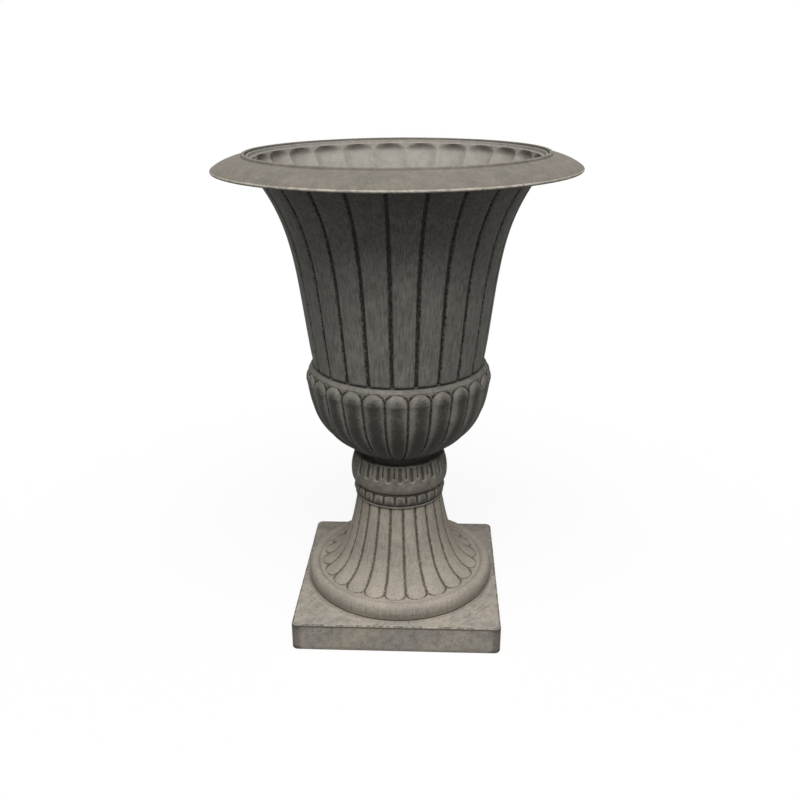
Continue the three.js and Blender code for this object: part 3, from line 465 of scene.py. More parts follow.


# %% [markdown]
# ## Drawing outlines
#
# An outline is drawn as a turner's template is: from inside the foot, out, up the face, over the top and
# down the inside. A pen keeps the points, the length drawn so far and two extra values on each point.
# `squareness` is what the plinth and the bolt's head need. The second value is above zero on edges that lost
# their paint and on painted highlights, and below zero where soot and soil gather and where shade is painted
# into coves, creases and under overhangs.

# %% The pen


class Outline:
    """A pen that draws an outline, in millimetres from the axis and from the outline's own foot."""

    def __init__(self, radius, height, squareness=0.0):
        self.points = [(radius, height)]
        self.squareness = [squareness]
        self.wear = [0.0]

    @property
    def length(self):
        return sum(math.dist(a, b) for a, b in zip(self.points, self.points[1:])) * MM

    def add(self, points, squareness=None, wear=0.0):
        for point in points:
            self.points.append(tuple(point))
            self.squareness.append(self.squareness[-1] if squareness is None else squareness)
            self.wear.append(wear)
        return self

    def line(self, radius, height, step=4.0, squareness=None, wear=0.0):
        """A straight stretch, whose squareness changes evenly to the one given."""
        start = Vector(self.points[-1])
        end = Vector((radius, height))
        pieces = max(1, round((end - start).length / step))
        first = self.squareness[-1]
        last = first if squareness is None else squareness
        for number in range(1, pieces + 1):
            share = number / pieces
            self.add([start.lerp(end, share)], first + (last - first) * share, wear)
        return self

    def bend(self, pulls, step=2.0, wear=0.0):
        """A Bezier stretch through one or two handles to the last point of pulls."""
        handles = [Vector(self.points[-1])] + [Vector(pull) for pull in pulls]
        pieces = count_steps(handles, step)
        points = [bezier_point(handles, number / pieces) for number in range(1, pieces + 1)]
        return self.add(points, wear=wear)

    def edge(self, radius, height, corner, step=0.7, wear=0.0):
        """A quarter round to (radius, height) whose handle is the sharp corner."""
        return self.bend([corner, (radius, height)], step, wear)

    def curve_object(self, foot):
        """The outline as a curve in the XZ plane, lifted by foot."""
        data = bpy.data.curves.new("outline", "CURVE")
        data.dimensions = "3D"
        spline = data.splines.new("POLY")
        spline.points.add(len(self.points) - 1)
        for number, (radius, height) in enumerate(self.points):
            point = spline.points[number]
            point.co = (radius * MM, 0.0, (height + foot) * MM, 1.0)
            point.radius = self.squareness[number]
            point.tilt = self.wear[number]
        return link(bpy.data.objects.new("outline", data))


def bezier_point(handles, share):
    while len(handles) > 1:
        handles = [a.lerp(b, share) for a, b in zip(handles, handles[1:])]
    return handles[0]


def count_steps(handles, step):
    """How many steps of about that length fit along the handles."""
    rough = sum((b - a).length for a, b in zip(handles, handles[1:]))
    return max(2, round(rough / step))


# %% From an outline to a shell


def inset_curve(handles, inset, step=2.0):
    """Points on a Bezier curve, last one first, moved by inset to its left, which is towards the axis."""
    handles = [Vector(handle) for handle in handles]
    pieces = count_steps(handles, step)
    points = []
    for number in range(pieces + 1):
        share = number / pieces
        here = bezier_point(handles, share)
        ahead = bezier_point(handles, min(share + 0.001, 1.0))
        behind = bezier_point(handles, max(share - 0.001, 0.0))
        direction = (ahead - behind).normalized()
        points.append((here.x - inset * direction.y, here.y + inset * direction.x))
    return points[::-1]


def turn_ring(name, outline, foot, material, values):
    """Sweeps an outline round the axis with the moulded ring tree."""
    curve = outline.curve_object(foot)
    piece = grow(name, ring_tree, {"Profile": curve, "Material": material, **values})
    data = curve.data
    bpy.data.objects.remove(curve)
    bpy.data.curves.remove(data)
    return piece


def label_of(name):
    """The label of an input, from a Python name such as start_round."""
    return name.replace("_", " ").capitalize()


def panels(band, **settings):
    """Inputs of one band of panels."""
    return {f"{band} {label_of(name)}": float(value) for name, value in settings.items()}


def crowd(count, columns, crowding, phase):
    """Inputs that give each repeat its columns and crowd them at its edges."""
    repeats = {"Crowded repeats": float(count), "Crowded phase": phase}
    return {"Columns": count * columns, "Crowding": crowding, **repeats}


# %% [markdown]
# ## The stone finish
#
# The shells are painted to look like weathered stone. Three things make that: a warm grey ground with soft
# clouds and fine grit in it, dark patina that stays in every groove, and light dry-brushed paint on ridges
# and edges. Over these lies painted light: highlights on some edges and on what faces up, and shade in coves,
# under overhangs and on what faces down. The four attributes that the ring tree stored say where grooves,
# pits, crests and worn edges are, and where the pen painted highlight or shade, so paint and shape can never
# drift apart. Noise breaks up the edges, because a clean line looks printed.
#
# All patterns read Object coordinates, and every piece sits at the origin, so the clouds run on from one
# shell to the next as they would on one casting. A picture of old stone would be less work, but it would
# stretch on the flared walls and its grooves would fall beside the real ones.

# %% Colours and helpers


def tone(red, green, blue):
    """A colour as a picture shows it, from 0 to 255, as the linear colour that Blender works in."""
    def linear(value):
        value /= 255
        return value / 12.92 if value <= 0.04045 else ((value + 0.055) / 1.055) ** 2.4
    return (linear(red), linear(green), linear(blue), 1.0)


def mix_colours(tree, share, first, second):
    node = tree.nodes.new("ShaderNodeMix")
    node.data_type = "RGBA"
    node.clamp_factor = True
    for socket, value in zip((node.inputs[0], node.inputs[6], node.inputs[7]), (share, first, second)):
        if isinstance(value, Wire):
            tree.links.new(value.socket, socket)
        else:
            socket.default_value = value
    return Wire(tree, node.outputs[2])


def read_attribute(tree, name):
    return add_node(tree, "ShaderNodeAttribute", output="Fac", attribute_name=name)


def texture_noise(tree, place, scale, detail=4.0, roughness=0.55, stretch=(1, 1, 1), turn=(0, 0, 0)):
    """Noise from 0 to 1 on object coordinates, turned and then stretched along an axis by a value under 1."""
    if turn != (0, 0, 0):
        place = add_node(tree, "ShaderNodeMapping", {"Vector": place, "Rotation": turn})
    if stretch != (1, 1, 1):
        place = add_node(tree, "ShaderNodeMapping", {"Vector": place, "Scale": stretch})
    inputs = {"Vector": place, "Scale": scale, "Detail": detail, "Roughness": roughness}
    return add_node(tree, "ShaderNodeTexNoise", inputs)


def new_material(name):
    material = bpy.data.materials.new(name)
    material.use_nodes = True
    material.node_tree.nodes.clear()
    return material


def add_bump(tree, height, strength, distance):
    inputs = {"Strength": strength, "Distance": distance, "Height": height}
    return add_node(tree, "ShaderNodeBump", inputs, "Normal")


def finish_material(tree, surface):
    wire_output(tree, add_node(tree, "ShaderNodeBsdfPrincipled", surface, "BSDF"))


def wire_output(tree, shader):
    output = tree.nodes.new("ShaderNodeOutputMaterial")
    tree.links.new(shader.socket, output.inputs["Surface"])


# %% [markdown]
# ## Coats of paint
#
# Each coat is a share from 0 to 1 that mixes one more colour over what is there. The light coats come first,
# as the brush puts them on, and the dark ones follow, because soot and soil settle last. Some coats are
# painted light: a highlight on what faces up and on edges the pen marked, and shade on what faces down and in
# the coves the pen marked. About half of them take a mark of the ring tree, add noise to it and put it
# through a soft step, which gives an edge that wanders and breaks up. The others are noise alone, or look at
# which way the surface faces. The numbers below are what a stone gets when it says nothing else.

# %% The stone recipe
STONE_DEFAULTS = {
    "cloud_size": 20.0,
    "mottle": 0.15,  # share of patina in the mottling
    "streaks": 0.0,  # brush strokes down the piece
    "grain": 0.2,  # brushed paint in the mottling
    "grit": 0.5,  # dark and light specks
    "line": 0.78,  # value of the groove attribute where the dark line starts
    "halo": 0.3,  # soft patina beside the line
    "edge": 0.5,  # brushed paint beside the line
    "crest": 0.0,  # patina on the top of a raised panel
    "pit": 0.85,  # patina in a sunk panel
    "dust": 0.0,  # dust, and partly a painted highlight, on what faces up
    "chips": 0.0,  # patina in broken places along worn edges
    "ragged": 0.45,  # how far noise moves the edge of a groove's line
    "scratches": 0.0,  # short slanting brush marks
    "under": 0.0,  # painted shade on what faces down
    "lining": 0.0,  # brushed paint inside
}
# Scales of the noises, from coarse to fine, and how they are stretched and turned.
MOTTLE_SCALE = 110.0
CHIP_SCALE = 120.0
SCRATCH_SCALE = 360.0
FLECK_SCALE = 380.0
STROKE_SCALE = 520.0
GRAIN_SCALE = 1100.0
STROKE_STRETCH = (1.0, 1.0, 0.025)
SCRATCH_STRETCH = (1.0, 0.1, 1.0)
SCRATCH_TURN = (0, 0, math.radians(40))
RELIEF = 0.7 * MM  # depth of the bumps


def make_stone(name, ground, cloud, patina, brushed, **amounts):
    """Painted stone. ground and cloud mix in soft patches, patina lies in grooves, brushed on ridges."""
    amount = {**STONE_DEFAULTS, **amounts}
    material = new_material(name)
    tree = material.node_tree
    place = add_node(tree, "ShaderNodeTexCoord", output="Object")
    clouds = texture_noise(tree, place, amount["cloud_size"])
    mottle = texture_noise(tree, place, MOTTLE_SCALE, 5.0, 0.6)
    fleck = texture_noise(tree, place, FLECK_SCALE, 3.0, 0.6)
    grain = texture_noise(tree, place, GRAIN_SCALE, 2.0, 0.6)
    strokes = texture_noise(tree, place, STROKE_SCALE, 3.0, 0.6, STROKE_STRETCH)
    broken = mottle + fleck - 1.0
    speck = grain * 0.35 + fleck * 0.65
    ragged = (fleck - 0.5) * (1.5 * amount["ragged"]) + (mottle - 0.5) * (0.5 * amount["ragged"])
    groove = read_attribute(tree, "groove") + ragged
    pit = read_attribute(tree, "pit")
    wear = read_attribute(tree, "wear")
    normal = add_node(tree, "ShaderNodeNewGeometry", output="Normal")
    up = add_node(tree, "ShaderNodeSeparateXYZ", [normal], output="Z")
    level = add_node(tree, "ShaderNodeVectorMath", [place, (1.0, 1.0, 0.0)], operation="MULTIPLY")
    outwards = add_node(tree, "ShaderNodeVectorMath", [level, normal], "Value", operation="DOT_PRODUCT")
    lining = outwards.smooth(0.0, -0.02) * amount["lining"]
    line = amount["line"]
    beside_line = groove.smooth(line - 0.42, line - 0.16)
    on_line = groove.smooth(line - 0.08, line + 0.1)

    colour = mix_colours(tree, clouds.smooth(0.38, 0.64), ground, cloud)
    light_layers = {
        "grain": (mottle * 0.5 + grain * 0.5).smooth(0.5, 0.68) * amount["grain"],
        "strokes": strokes.smooth(0.49, 0.36) * amount["streaks"] * (1.0 - lining),
        "lining": lining * clouds.smooth(0.3, 0.7, 0.45, 0.85),
        # lighter on what faces up: dust, and partly a painted highlight from above
        "dust": (up + broken * 0.5).smooth(0.1, 0.75) * amount["dust"],
        "groove edge": beside_line * fleck.smooth(0.36, 0.6) * amount["edge"],
        "pit edge": pit.smooth(0.0, 0.12) * pit.smooth(0.7, 0.3) * amount["edge"],
        # light where wear is above zero: worn edges, and painted highlights where the pen set them
        "worn edge and painted highlight": (wear + broken * 0.8).smooth(0.12, 0.7) * 0.85,
        "specks": speck.smooth(0.45, 0.34) * (0.6 * amount["grit"]),
    }
    for layer in light_layers.values():
        colour = mix_colours(tree, layer, colour, brushed)
    # crest patina, thinner where the surface faces up: partly a painted highlight on the tops of lobes and
    # beads
    crest = read_attribute(tree, "crest") + broken * 0.9 + (clouds - 0.5) * 0.5 - up * 0.8
    chips = texture_noise(tree, place, CHIP_SCALE, 5.0, 0.75)
    scratches = texture_noise(tree, place, SCRATCH_SCALE, 3.0, 0.6, SCRATCH_STRETCH, SCRATCH_TURN)
    dark_layers = {
        "mottle": (mottle * 0.7 + fleck * 0.3).smooth(0.58, 0.36) * amount["mottle"],
        "strokes": strokes.smooth(0.51, 0.64) * amount["streaks"] * (1.0 - lining),
        "specks": speck.smooth(0.54, 0.67) * amount["grit"] * (1.0 - lining * 0.5),
        "scratches": scratches.smooth(0.53, 0.62) * fleck.smooth(0.4, 0.6) * amount["scratches"],
        # painted shade on what faces down, as under the rim
        "underside": (up + broken * 0.3).smooth(-0.2, -0.65) * amount["under"] * (1.0 - lining),
        "crest": crest.smooth(0.3, 1.25) * amount["crest"],
        "pit": (pit + broken * 0.4).smooth(0.3, 0.9) * amount["pit"],
        "halo": groove.smooth(line - 0.45, line) * amount["halo"],
        "line": on_line * fleck.smooth(0.3, 0.58, 0.6, 0.97),
        # dark where wear is below zero: soot and soil, and painted shade in coves and under overhangs
        "grime and painted shade": (wear * -1.0 + broken * 0.4).smooth(0.02, 0.9) * 0.95,
        "chips": (wear + broken * 0.6).smooth(0.14, 0.36) * chips.smooth(0.46, 0.54) * amount["chips"],
    }
    for layer in dark_layers.values():
        colour = mix_colours(tree, layer, colour, patina)

    rough = grain * 0.16 + 0.7
    relief = grain * 0.3 + fleck * 0.6 + mottle * 0.7 + strokes * amount["streaks"]
    surface = {"Base Color": colour, "Roughness": rough, "Specular IOR Level": 0.3}
    finish_material(tree, {**surface, "Normal": add_bump(tree, relief, 0.8, RELIEF)})
    return material


# %% [markdown]
# ## Six stones
#
# The shells are painted in one manner, but not in one tone. Plinth and pedestal are pale, and the plinth is
# chipped and scratched. Collar and bowl are darker, and sooty on the crowns of their beads and lobes. The
# bell is the darkest outside and pale inside, and the rim has soft clouds and hardly a mark. One recipe with
# other numbers serves all six, so that they still look like one urn.

# %% The six stones
stone = {
    "base": make_stone(
        "worn_plinth_stone",
        ground=tone(180, 172, 160), cloud=tone(164, 160, 153),
        patina=tone(84, 78, 71), brushed=tone(200, 192, 179),
        grit=0.6, mottle=0.35, cloud_size=28.0, chips=0.95, scratches=0.35, ragged=0.6),
    "pedestal": make_stone(
        "petal_stone",
        ground=tone(180, 172, 160), cloud=tone(166, 159, 149),
        patina=tone(84, 77, 69), brushed=tone(198, 190, 177),
        line=0.74, streaks=0.22, grit=0.4, halo=0.35, edge=0.35, ragged=0.5),
    "collar": make_stone(
        "collar_stone",
        ground=tone(158, 152, 143), cloud=tone(140, 135, 128),
        patina=tone(46, 42, 36), brushed=tone(192, 186, 175),
        crest=0.65, pit=0.72, halo=0.4, edge=0.6, mottle=0.35, grit=0.6),
    # the bowl gets a faint painted highlight on what faces up
    "bowl": make_stone(
        "gadroon_stone",
        ground=tone(150, 146, 139), cloud=tone(132, 129, 123),
        patina=tone(38, 36, 33), brushed=tone(178, 173, 163),
        crest=0.85, dust=0.1, line=0.76, edge=0.5, halo=0.28, mottle=0.3, grit=0.6, chips=0.4, lining=0.3),
    # the bell gets painted shade on what faces down, under the rim
    "bell": make_stone(
        "stave_stone",
        ground=tone(141, 139, 134), cloud=tone(128, 126, 121),
        patina=tone(26, 25, 23), brushed=tone(176, 171, 162),
        streaks=0.32, line=0.6, edge=0.45, cloud_size=9.0, ragged=0.62, under=0.6, chips=0.4, lining=0.78,
        grit=0.3),
    "rim": make_stone(
        "rim_stone",
        ground=tone(125, 119, 111), cloud=tone(118, 114, 106),
        patina=tone(66, 61, 55), brushed=tone(206, 199, 187),
        mottle=0.2, grain=0.08, grit=0.35, cloud_size=30.0, chips=0.3),
}
print("stones:", ", ".join(stone))

# %% [markdown]
# ## The rim ring
#
# The widest piece: an upstanding lip round the mouth, a soft crease, and a convex flange that falls to a
# rolled edge. It has no pattern, so its charm is all in the outline and in the slight waviness that a big
# thin moulding gets as it cools. The edge at the front is the brightest line of the whole urn: worn pale, and
# given a painted highlight.

# %% The rim ring
WALL = 3.0
MOUTH_RADIUS = 164.2
GAP = 0.3
LIP_HEIGHT = 7.2
RIM_REACH = 38.1
RIM_DROP = top_height["rim_ring"] - foot_height["rim_ring"] - LIP_HEIGHT
rim_seat = foot_height["rim_ring"] + RIM_DROP


def rim_outline():
    hem = MOUTH_RADIUS + GAP
    outer = MOUTH_RADIUS + RIM_REACH
    flange = [(hem + 4.8, 4.4), (hem + 16.8, 2.4), (outer - 9.0, -1.7), (outer - 1.0, -8.2)]
    pen = Outline(hem, 0.0)
    pen.line(hem, 6.0, 1.0)
    pen.edge(hem + 1.2, LIP_HEIGHT, (hem, LIP_HEIGHT), 0.4, wear=-0.1)
    pen.line(hem + 2.6, LIP_HEIGHT, 0.6, wear=0.18)
    pen.edge(hem + 4.2, 5.4, (hem + 4.1, 7.1), 0.5)
    # the crease behind the lip is darker: painted shade, with some soot
    pen.bend([(hem + 4.3, 4.5), flange[0]], 0.5, wear=-0.15)
    pen.line(hem + 5.8, 4.25, 0.5, wear=0.15)
    pen.bend(flange[1:], 1.5)
    # the rolled front edge is lightest: worn paint with a painted highlight
    pen.edge(outer - 0.5, -RIM_DROP + 0.8, (outer + 0.3, -9.6), 0.5, wear=0.9)
    # darker under the rolled edge: painted shade
    pen.edge(outer - 1.6, -RIM_DROP, (outer - 0.7, -RIM_DROP), 0.4, wear=-0.5)
    pen.line(outer - 4.2, -RIM_DROP + 0.3, 1.0)
    pen.add(inset_curve(flange, -WALL, 4.0)[2:-1])
    pen.line(MOUTH_RADIUS + 5.3, 0.0, 2.0)
    pen.line(hem, 0.0, 1.5)
    return pen


rim_values = {"Columns": 480, "Wobble": 0.2 * MM, "Wave": 0.35 * MM, "Wobble scale": 9.0}
rim = turn_ring("rim_shell", rim_outline(), rim_seat, stone["rim"], rim_values)

# %% [markdown]
# ## The bell
#
# The bell is a ring of 24 flat staves with a narrow groove between them. Seen from inside, each stave is a
# shallow hollow under a low arch, because the wall is equally thick everywhere. The grooves are cut by hand
# in the master, so their edges are ragged: noise is added to the distance from the panel's outline, which
# moves both edges of a groove in and out. Two bands of panels do it, one raised outside and one sunk
# inside.

# %% The bell
BELL_FOOT_RADIUS = 101.0
BELL_THROAT = (156.0, 218.4)
BELL_FACE = [(BELL_FOOT_RADIUS, 0.0), (116.0, 92.0), (111.8, 156.6), BELL_THROAT]
BELL_MOUTH = [BELL_THROAT, (MOUTH_RADIUS, 229.9), (MOUTH_RADIUS, 239.4)]
BELL_HEIGHT = top_height["bell"] - foot_height["bell"]
JOINT_BORE = 84.0
FLANGE = 3.5  # thickness of the flanges by which bell and bowl are screwed together
STAVE_COUNT = 24
STAVE_PHASE = math.radians(-1.3)
STAVE_GROOVE = 2.5
HOLLOW_DEPTH = 5.0
HOLLOW_ROOM = 1.0  # what the wall has behind a groove, over its own thickness


def bell_outline():
    """The bell's outline, and how far along it the staves and the hollows start and end."""
    marks = {}
    under_shoulder = bezier_point([Vector(p) for p in BELL_MOUTH], 0.45)
    pen = Outline(JOINT_BORE, 0.0)
    pen.line(BELL_FOOT_RADIUS - 1.5, 0.0, 4.0)
    marks["staves_start"] = pen.length
    pen.edge(BELL_FOOT_RADIUS, 1.5, (BELL_FOOT_RADIUS, 0.0), 0.5, wear=-0.9)
    pen.bend([(BELL_FOOT_RADIUS + 0.2, 2.6)] * 2, 0.5, wear=-0.45)
    pen.bend(BELL_FACE[1:], 2.2)
    pen.bend([(159.2, 222.9), tuple(under_shoulder)], 2.0)
    marks["staves_end"] = pen.length
    shoulder = BELL_HEIGHT - 5.3
    pen.line(MOUTH_RADIUS - 1.0, shoulder - 3.2, 1.5).line(MOUTH_RADIUS + 4.3, shoulder - 2.6, 2.0)
    pen.line(MOUTH_RADIUS + 4.3, shoulder, 1.5).line(MOUTH_RADIUS, shoulder, 2.0)
    pen.line(MOUTH_RADIUS, BELL_HEIGHT - 0.8, 1.5, wear=-0.6)
    pen.edge(MOUTH_RADIUS - 0.8, BELL_HEIGHT, (MOUTH_RADIUS, BELL_HEIGHT), 0.4, wear=-0.7)
    pen.line(MOUTH_RADIUS - WALL + 0.8, BELL_HEIGHT, 0.6, wear=0.2)
    pen.edge(MOUTH_RADIUS - WALL, BELL_HEIGHT - 0.9, (MOUTH_RADIUS - WALL, BELL_HEIGHT), 0.4, wear=0.1)
    inset = WALL + STAVE_GROOVE + HOLLOW_ROOM
    mouth_inside = inset_curve(BELL_MOUTH, inset, 1.6)
    pen.bend([(MOUTH_RADIUS - 3.6, BELL_HEIGHT - 6.0), mouth_inside[4]], 1.5)
    marks["hollows_start"] = pen.length
    pen.add(mouth_inside[5:])
    pen.add(inset_curve(BELL_FACE, inset, 4.0)[1:-3])
    marks["hollows_end"] = pen.length
    pen.line(BELL_FOOT_RADIUS - inset, FLANGE, 4.0).line(JOINT_BORE + 0.8, FLANGE, 4.0)
    pen.edge(JOINT_BORE, FLANGE - 0.8, (JOINT_BORE, FLANGE), 0.6).line(JOINT_BORE, 0.0, 2.0)
    return pen, marks


outline, marks = bell_outline()
stave_panels = panels(
    "First", count=STAVE_COUNT, phase=STAVE_PHASE, start=marks["staves_start"], end=marks["staves_end"],
    gap=1.3 * MM, edge=1.5 * MM, depth=STAVE_GROOVE * MM)
hollow_panels = panels(
    "Second", count=STAVE_COUNT, phase=STAVE_PHASE, start=marks["hollows_start"], end=marks["hollows_end"],
    start_round=0.42, gap=0.3 * MM, edge=13.0 * MM, crown=0.4, depth=HOLLOW_DEPTH * MM, sunk=1.0, soot=0.0)
bell_values = {
    **crowd(STAVE_COUNT, 18, 0.75, STAVE_PHASE), **stave_panels, **hollow_panels,
    "Wobble": 0.3 * MM, "Wobble scale": 14.0, "Ragged": 0.8 * MM, "Ragged scale": 240.0, "Seed": 3.0}
bell = turn_ring("bell_shell", outline, foot_height["bell"], stone["bell"], bell_values)

# %% [markdown]
# ## The bowl
#
# Under the bell the wall swells out into 26 gadroons, lobes like the segments of a melon. They narrow
# towards the foot because the ring gets smaller, which the panel rule does by itself: its pitch is the
# circumference divided by the count. At the top each lobe ends in a round head on a plain ledge.

# %% The bowl
BOWL_FACE = [(44.0, 9.0), (110.7, 40.6), (105.0, 83.0), (110.4, 102.0)]
BOWL_SHOULDER = [(110.4, 102.0), (110.7, 112.5), (105.8, 116.8)]
BOWL_HEIGHT = top_height["bowl"] - foot_height["bowl"]
GADROON_COUNT = 26
GADROON_PHASE = math.radians(-5.5)
GADROON_DEPTH = 4.0
BOWL_FLOOR = 5.0


def bowl_outline():
    marks = {}
    pen = Outline(0.0, 0.0)
    pen.line(41.0, 0.0, 8.0)
    # the foot disc's side is lightened: a painted highlight where the bowl's shade falls
    pen.edge(42.0, 1.0, (42.0, 0.0), 0.4, wear=0.2)
    pen.line(42.0, 6.6, 1.5, wear=0.2)
    pen.bend([(42.0, 8.6), (44.0, 9.0)], 0.7, wear=-0.35)
    marks["lobes_start"] = pen.length
    pen.bend(BOWL_FACE[1:], 1.8)
    pen.bend(BOWL_SHOULDER[1:], 1.0)
    marks["lobes_end"] = pen.length
    pen.bend([(104.6, 118.0), (103.9, BOWL_HEIGHT), (103.0, BOWL_HEIGHT)], 0.6, wear=-0.05)
    pen.line(102.7, BOWL_HEIGHT, 0.5, wear=-0.3)
    pen.line(101.0, BOWL_HEIGHT, 0.8, wear=-0.4)
    pen.line(JOINT_BORE + 0.8, BOWL_HEIGHT, 3.0)
    pen.edge(JOINT_BORE, BOWL_HEIGHT - 0.8, (JOINT_BORE, BOWL_HEIGHT), 0.6)
    pen.line(JOINT_BORE, BOWL_HEIGHT - FLANGE, 1.5).line(99.0, BOWL_HEIGHT - FLANGE, 4.0)
    marks["backs_start"] = pen.length
    pen.add(inset_curve(BOWL_FACE, WALL + GADROON_DEPTH, 3.0)[1:-2])
    marks["backs_end"] = pen.length
    pen.line(38.0, 7.0, 2.0).bend([(36.6, BOWL_FLOOR), (35.0, BOWL_FLOOR)], 0.8).line(0.0, BOWL_FLOOR, 5.0)
    return pen, marks


outline, marks = bowl_outline()
lobe_panels = panels(
    "First", count=GADROON_COUNT, phase=GADROON_PHASE, start=marks["lobes_start"], end=marks["lobes_end"],
    start_round=1.2, end_round=0.95, gap=0.7 * MM, edge=2.2 * MM, crown=0.85, depth=GADROON_DEPTH * MM,
    fade_in=10 * MM, fade_out=5 * MM, outlined=0.25)
lobe_backs = panels(
    "Second", count=GADROON_COUNT, phase=GADROON_PHASE, start=marks["backs_start"], end=marks["backs_end"],
    start_round=0.8, gap=0.8 * MM, edge=4.0 * MM, crown=0.8, depth=3.4 * MM, sunk=1.0, soot=0.0)
bowl_values = {
    **crowd(GADROON_COUNT, 18, 0.6, GADROON_PHASE), **lobe_panels, **lobe_backs,
    "Wobble": 0.25 * MM, "Wobble scale": 20.0, "Ragged": 0.25 * MM, "Seed": 5.0}
bowl = turn_ring("bowl_shell", outline, foot_height["bowl"], stone["bowl"], bowl_values)

# %% [markdown]
# ## The neck collar
#
# A ring between bowl and pedestal. From the top: a thin flange, a row of slots that bite into a smooth
# belly, a dark neck line, a row of beads, and a thin foot band. Slots and beads share their count, so that
# they line up. A third band cuts a fine line down each rib between the slots.

# %% The neck collar
COLLAR_COUNT = 25
RIB_PHASE = math.radians(3.8)
SLOT_PHASE = RIB_PHASE + math.pi / COLLAR_COUNT  # half a pitch further round
COLLAR_BORE = 44.6
SLOT_OVERRUN = 4.0  # how far the slots run on over the top edge


def collar_outline():
    marks = {}
    pen = Outline(COLLAR_BORE, 0.0)
    pen.line(54.2, 0.0, 3.0)
    pen.line(54.6, 0.2, 0.5, wear=-0.7)
    pen.bend([(55.2, 0.6), (55.2, 1.5), (54.6, 1.9)], 0.35, wear=0.2)
    pen.bend([(53.9, 2.4), (54.0, 3.4)], 0.4, wear=-0.8)
    marks["beads_start"] = pen.length
    pen.bend([(55.4, 3.9), (56.4, 6.0), (56.6, 8.6)], 0.6)
    pen.bend([(56.6, 11.5), (55.6, 15.2), (53.9, 16.6)], 0.6)
    marks["beads_end"] = pen.length
    pen.bend([(53.2, 17.2), (53.2, 18.2)], 0.5, wear=-0.5)
    pen.bend([(53.4, 19.0), (56.4, 19.8)], 0.6, wear=-0.15)
    pen.bend([(59.4, 21.8), (59.6, 28.0), (59.6, 33.0)], 0.9)
    marks["slots_start"] = pen.length
    pen.bend([(59.6, 42.0), (57.0, 49.0), (55.6, 53.8)], 0.9)
    marks["slots_end"] = pen.length
    pen.edge(55.9, 54.6, (56.0, 54.0), 0.4, wear=0.3)
    pen.edge(54.9, 56.2, (56.0, 56.2), 0.5, wear=0.3)
    pen.line(53.4, 56.0, 0.8).bend([(50.0, 54.5), (43.4, 50.9)], 1.0)
    pen.line(36.0, 50.9, 2.0).line(36.0, 45.9, 2.0).line(COLLAR_BORE, 40.9, 3.0).line(COLLAR_BORE, 0.0, 5.0)
    return pen, marks


outline, marks = collar_outline()
slots_end = marks["slots_end"] + SLOT_OVERRUN * MM
bead_panels = panels(
    "First", count=COLLAR_COUNT, phase=SLOT_PHASE, start=marks["beads_start"], end=marks["beads_end"],
    start_round=0.3, end_round=0.3, gap=0.5 * MM, edge=1.6 * MM, crown=0.6, depth=1.9 * MM)
slot_panels = panels(
    "Second", count=COLLAR_COUNT, phase=SLOT_PHASE, start=marks["slots_start"], end=slots_end,
    start_round=0.7, gap=3.7 * MM, edge=2.2 * MM, crown=0.5, depth=3.2 * MM, fade_in=7 * MM, sunk=1.0,
    soot=0.8)
rib_lines = panels(
    "Third", count=COLLAR_COUNT, phase=RIB_PHASE, start=marks["slots_start"] + 2.0 * MM, end=slots_end,
    start_round=1.0, gap=5.6 * MM, edge=1.1 * MM, depth=2.6 * MM, sunk=1.0, soot=0.9)
collar_values = {
    "Columns": COLLAR_COUNT * 22, **bead_panels, **slot_panels, **rib_lines,
    "Wobble": 0.15 * MM, "Wobble scale": 30.0, "Ragged": 0.3 * MM, "Ragged scale": 260.0, "Seed": 7.0}
collar = turn_ring("collar_shell", outline, foot_height["neck_collar"], stone["collar"], collar_values)

# %% [markdown]
# ## The pedestal
#
# A trumpet of 22 long petals. They widen towards the ground and end in round tongues a little short of the
# foot ring, with a line cut round each, so that it shows as a separate leaf. Below them runs a half-round
# foot ring. The web inside, which the clamp bolt pulls against, has four drain holes, cut afterwards with a
# Boolean because they have nothing to do with the ring's own pattern.

# %% The pedestal
PEDESTAL_HEIGHT = 121.2
PETAL_FACE = [(103.3, 21.7), (73.0, 24.7), (63.0, 62.5), (52.8, 120.2)]
PETAL_COUNT = 22
PETAL_PHASE = math.radians(-9.2)
PETAL_MOAT = 6.0  # from the foot ring to the petals' ends
SPIGOT_RADIUS = 44.0
WEB = 5.0


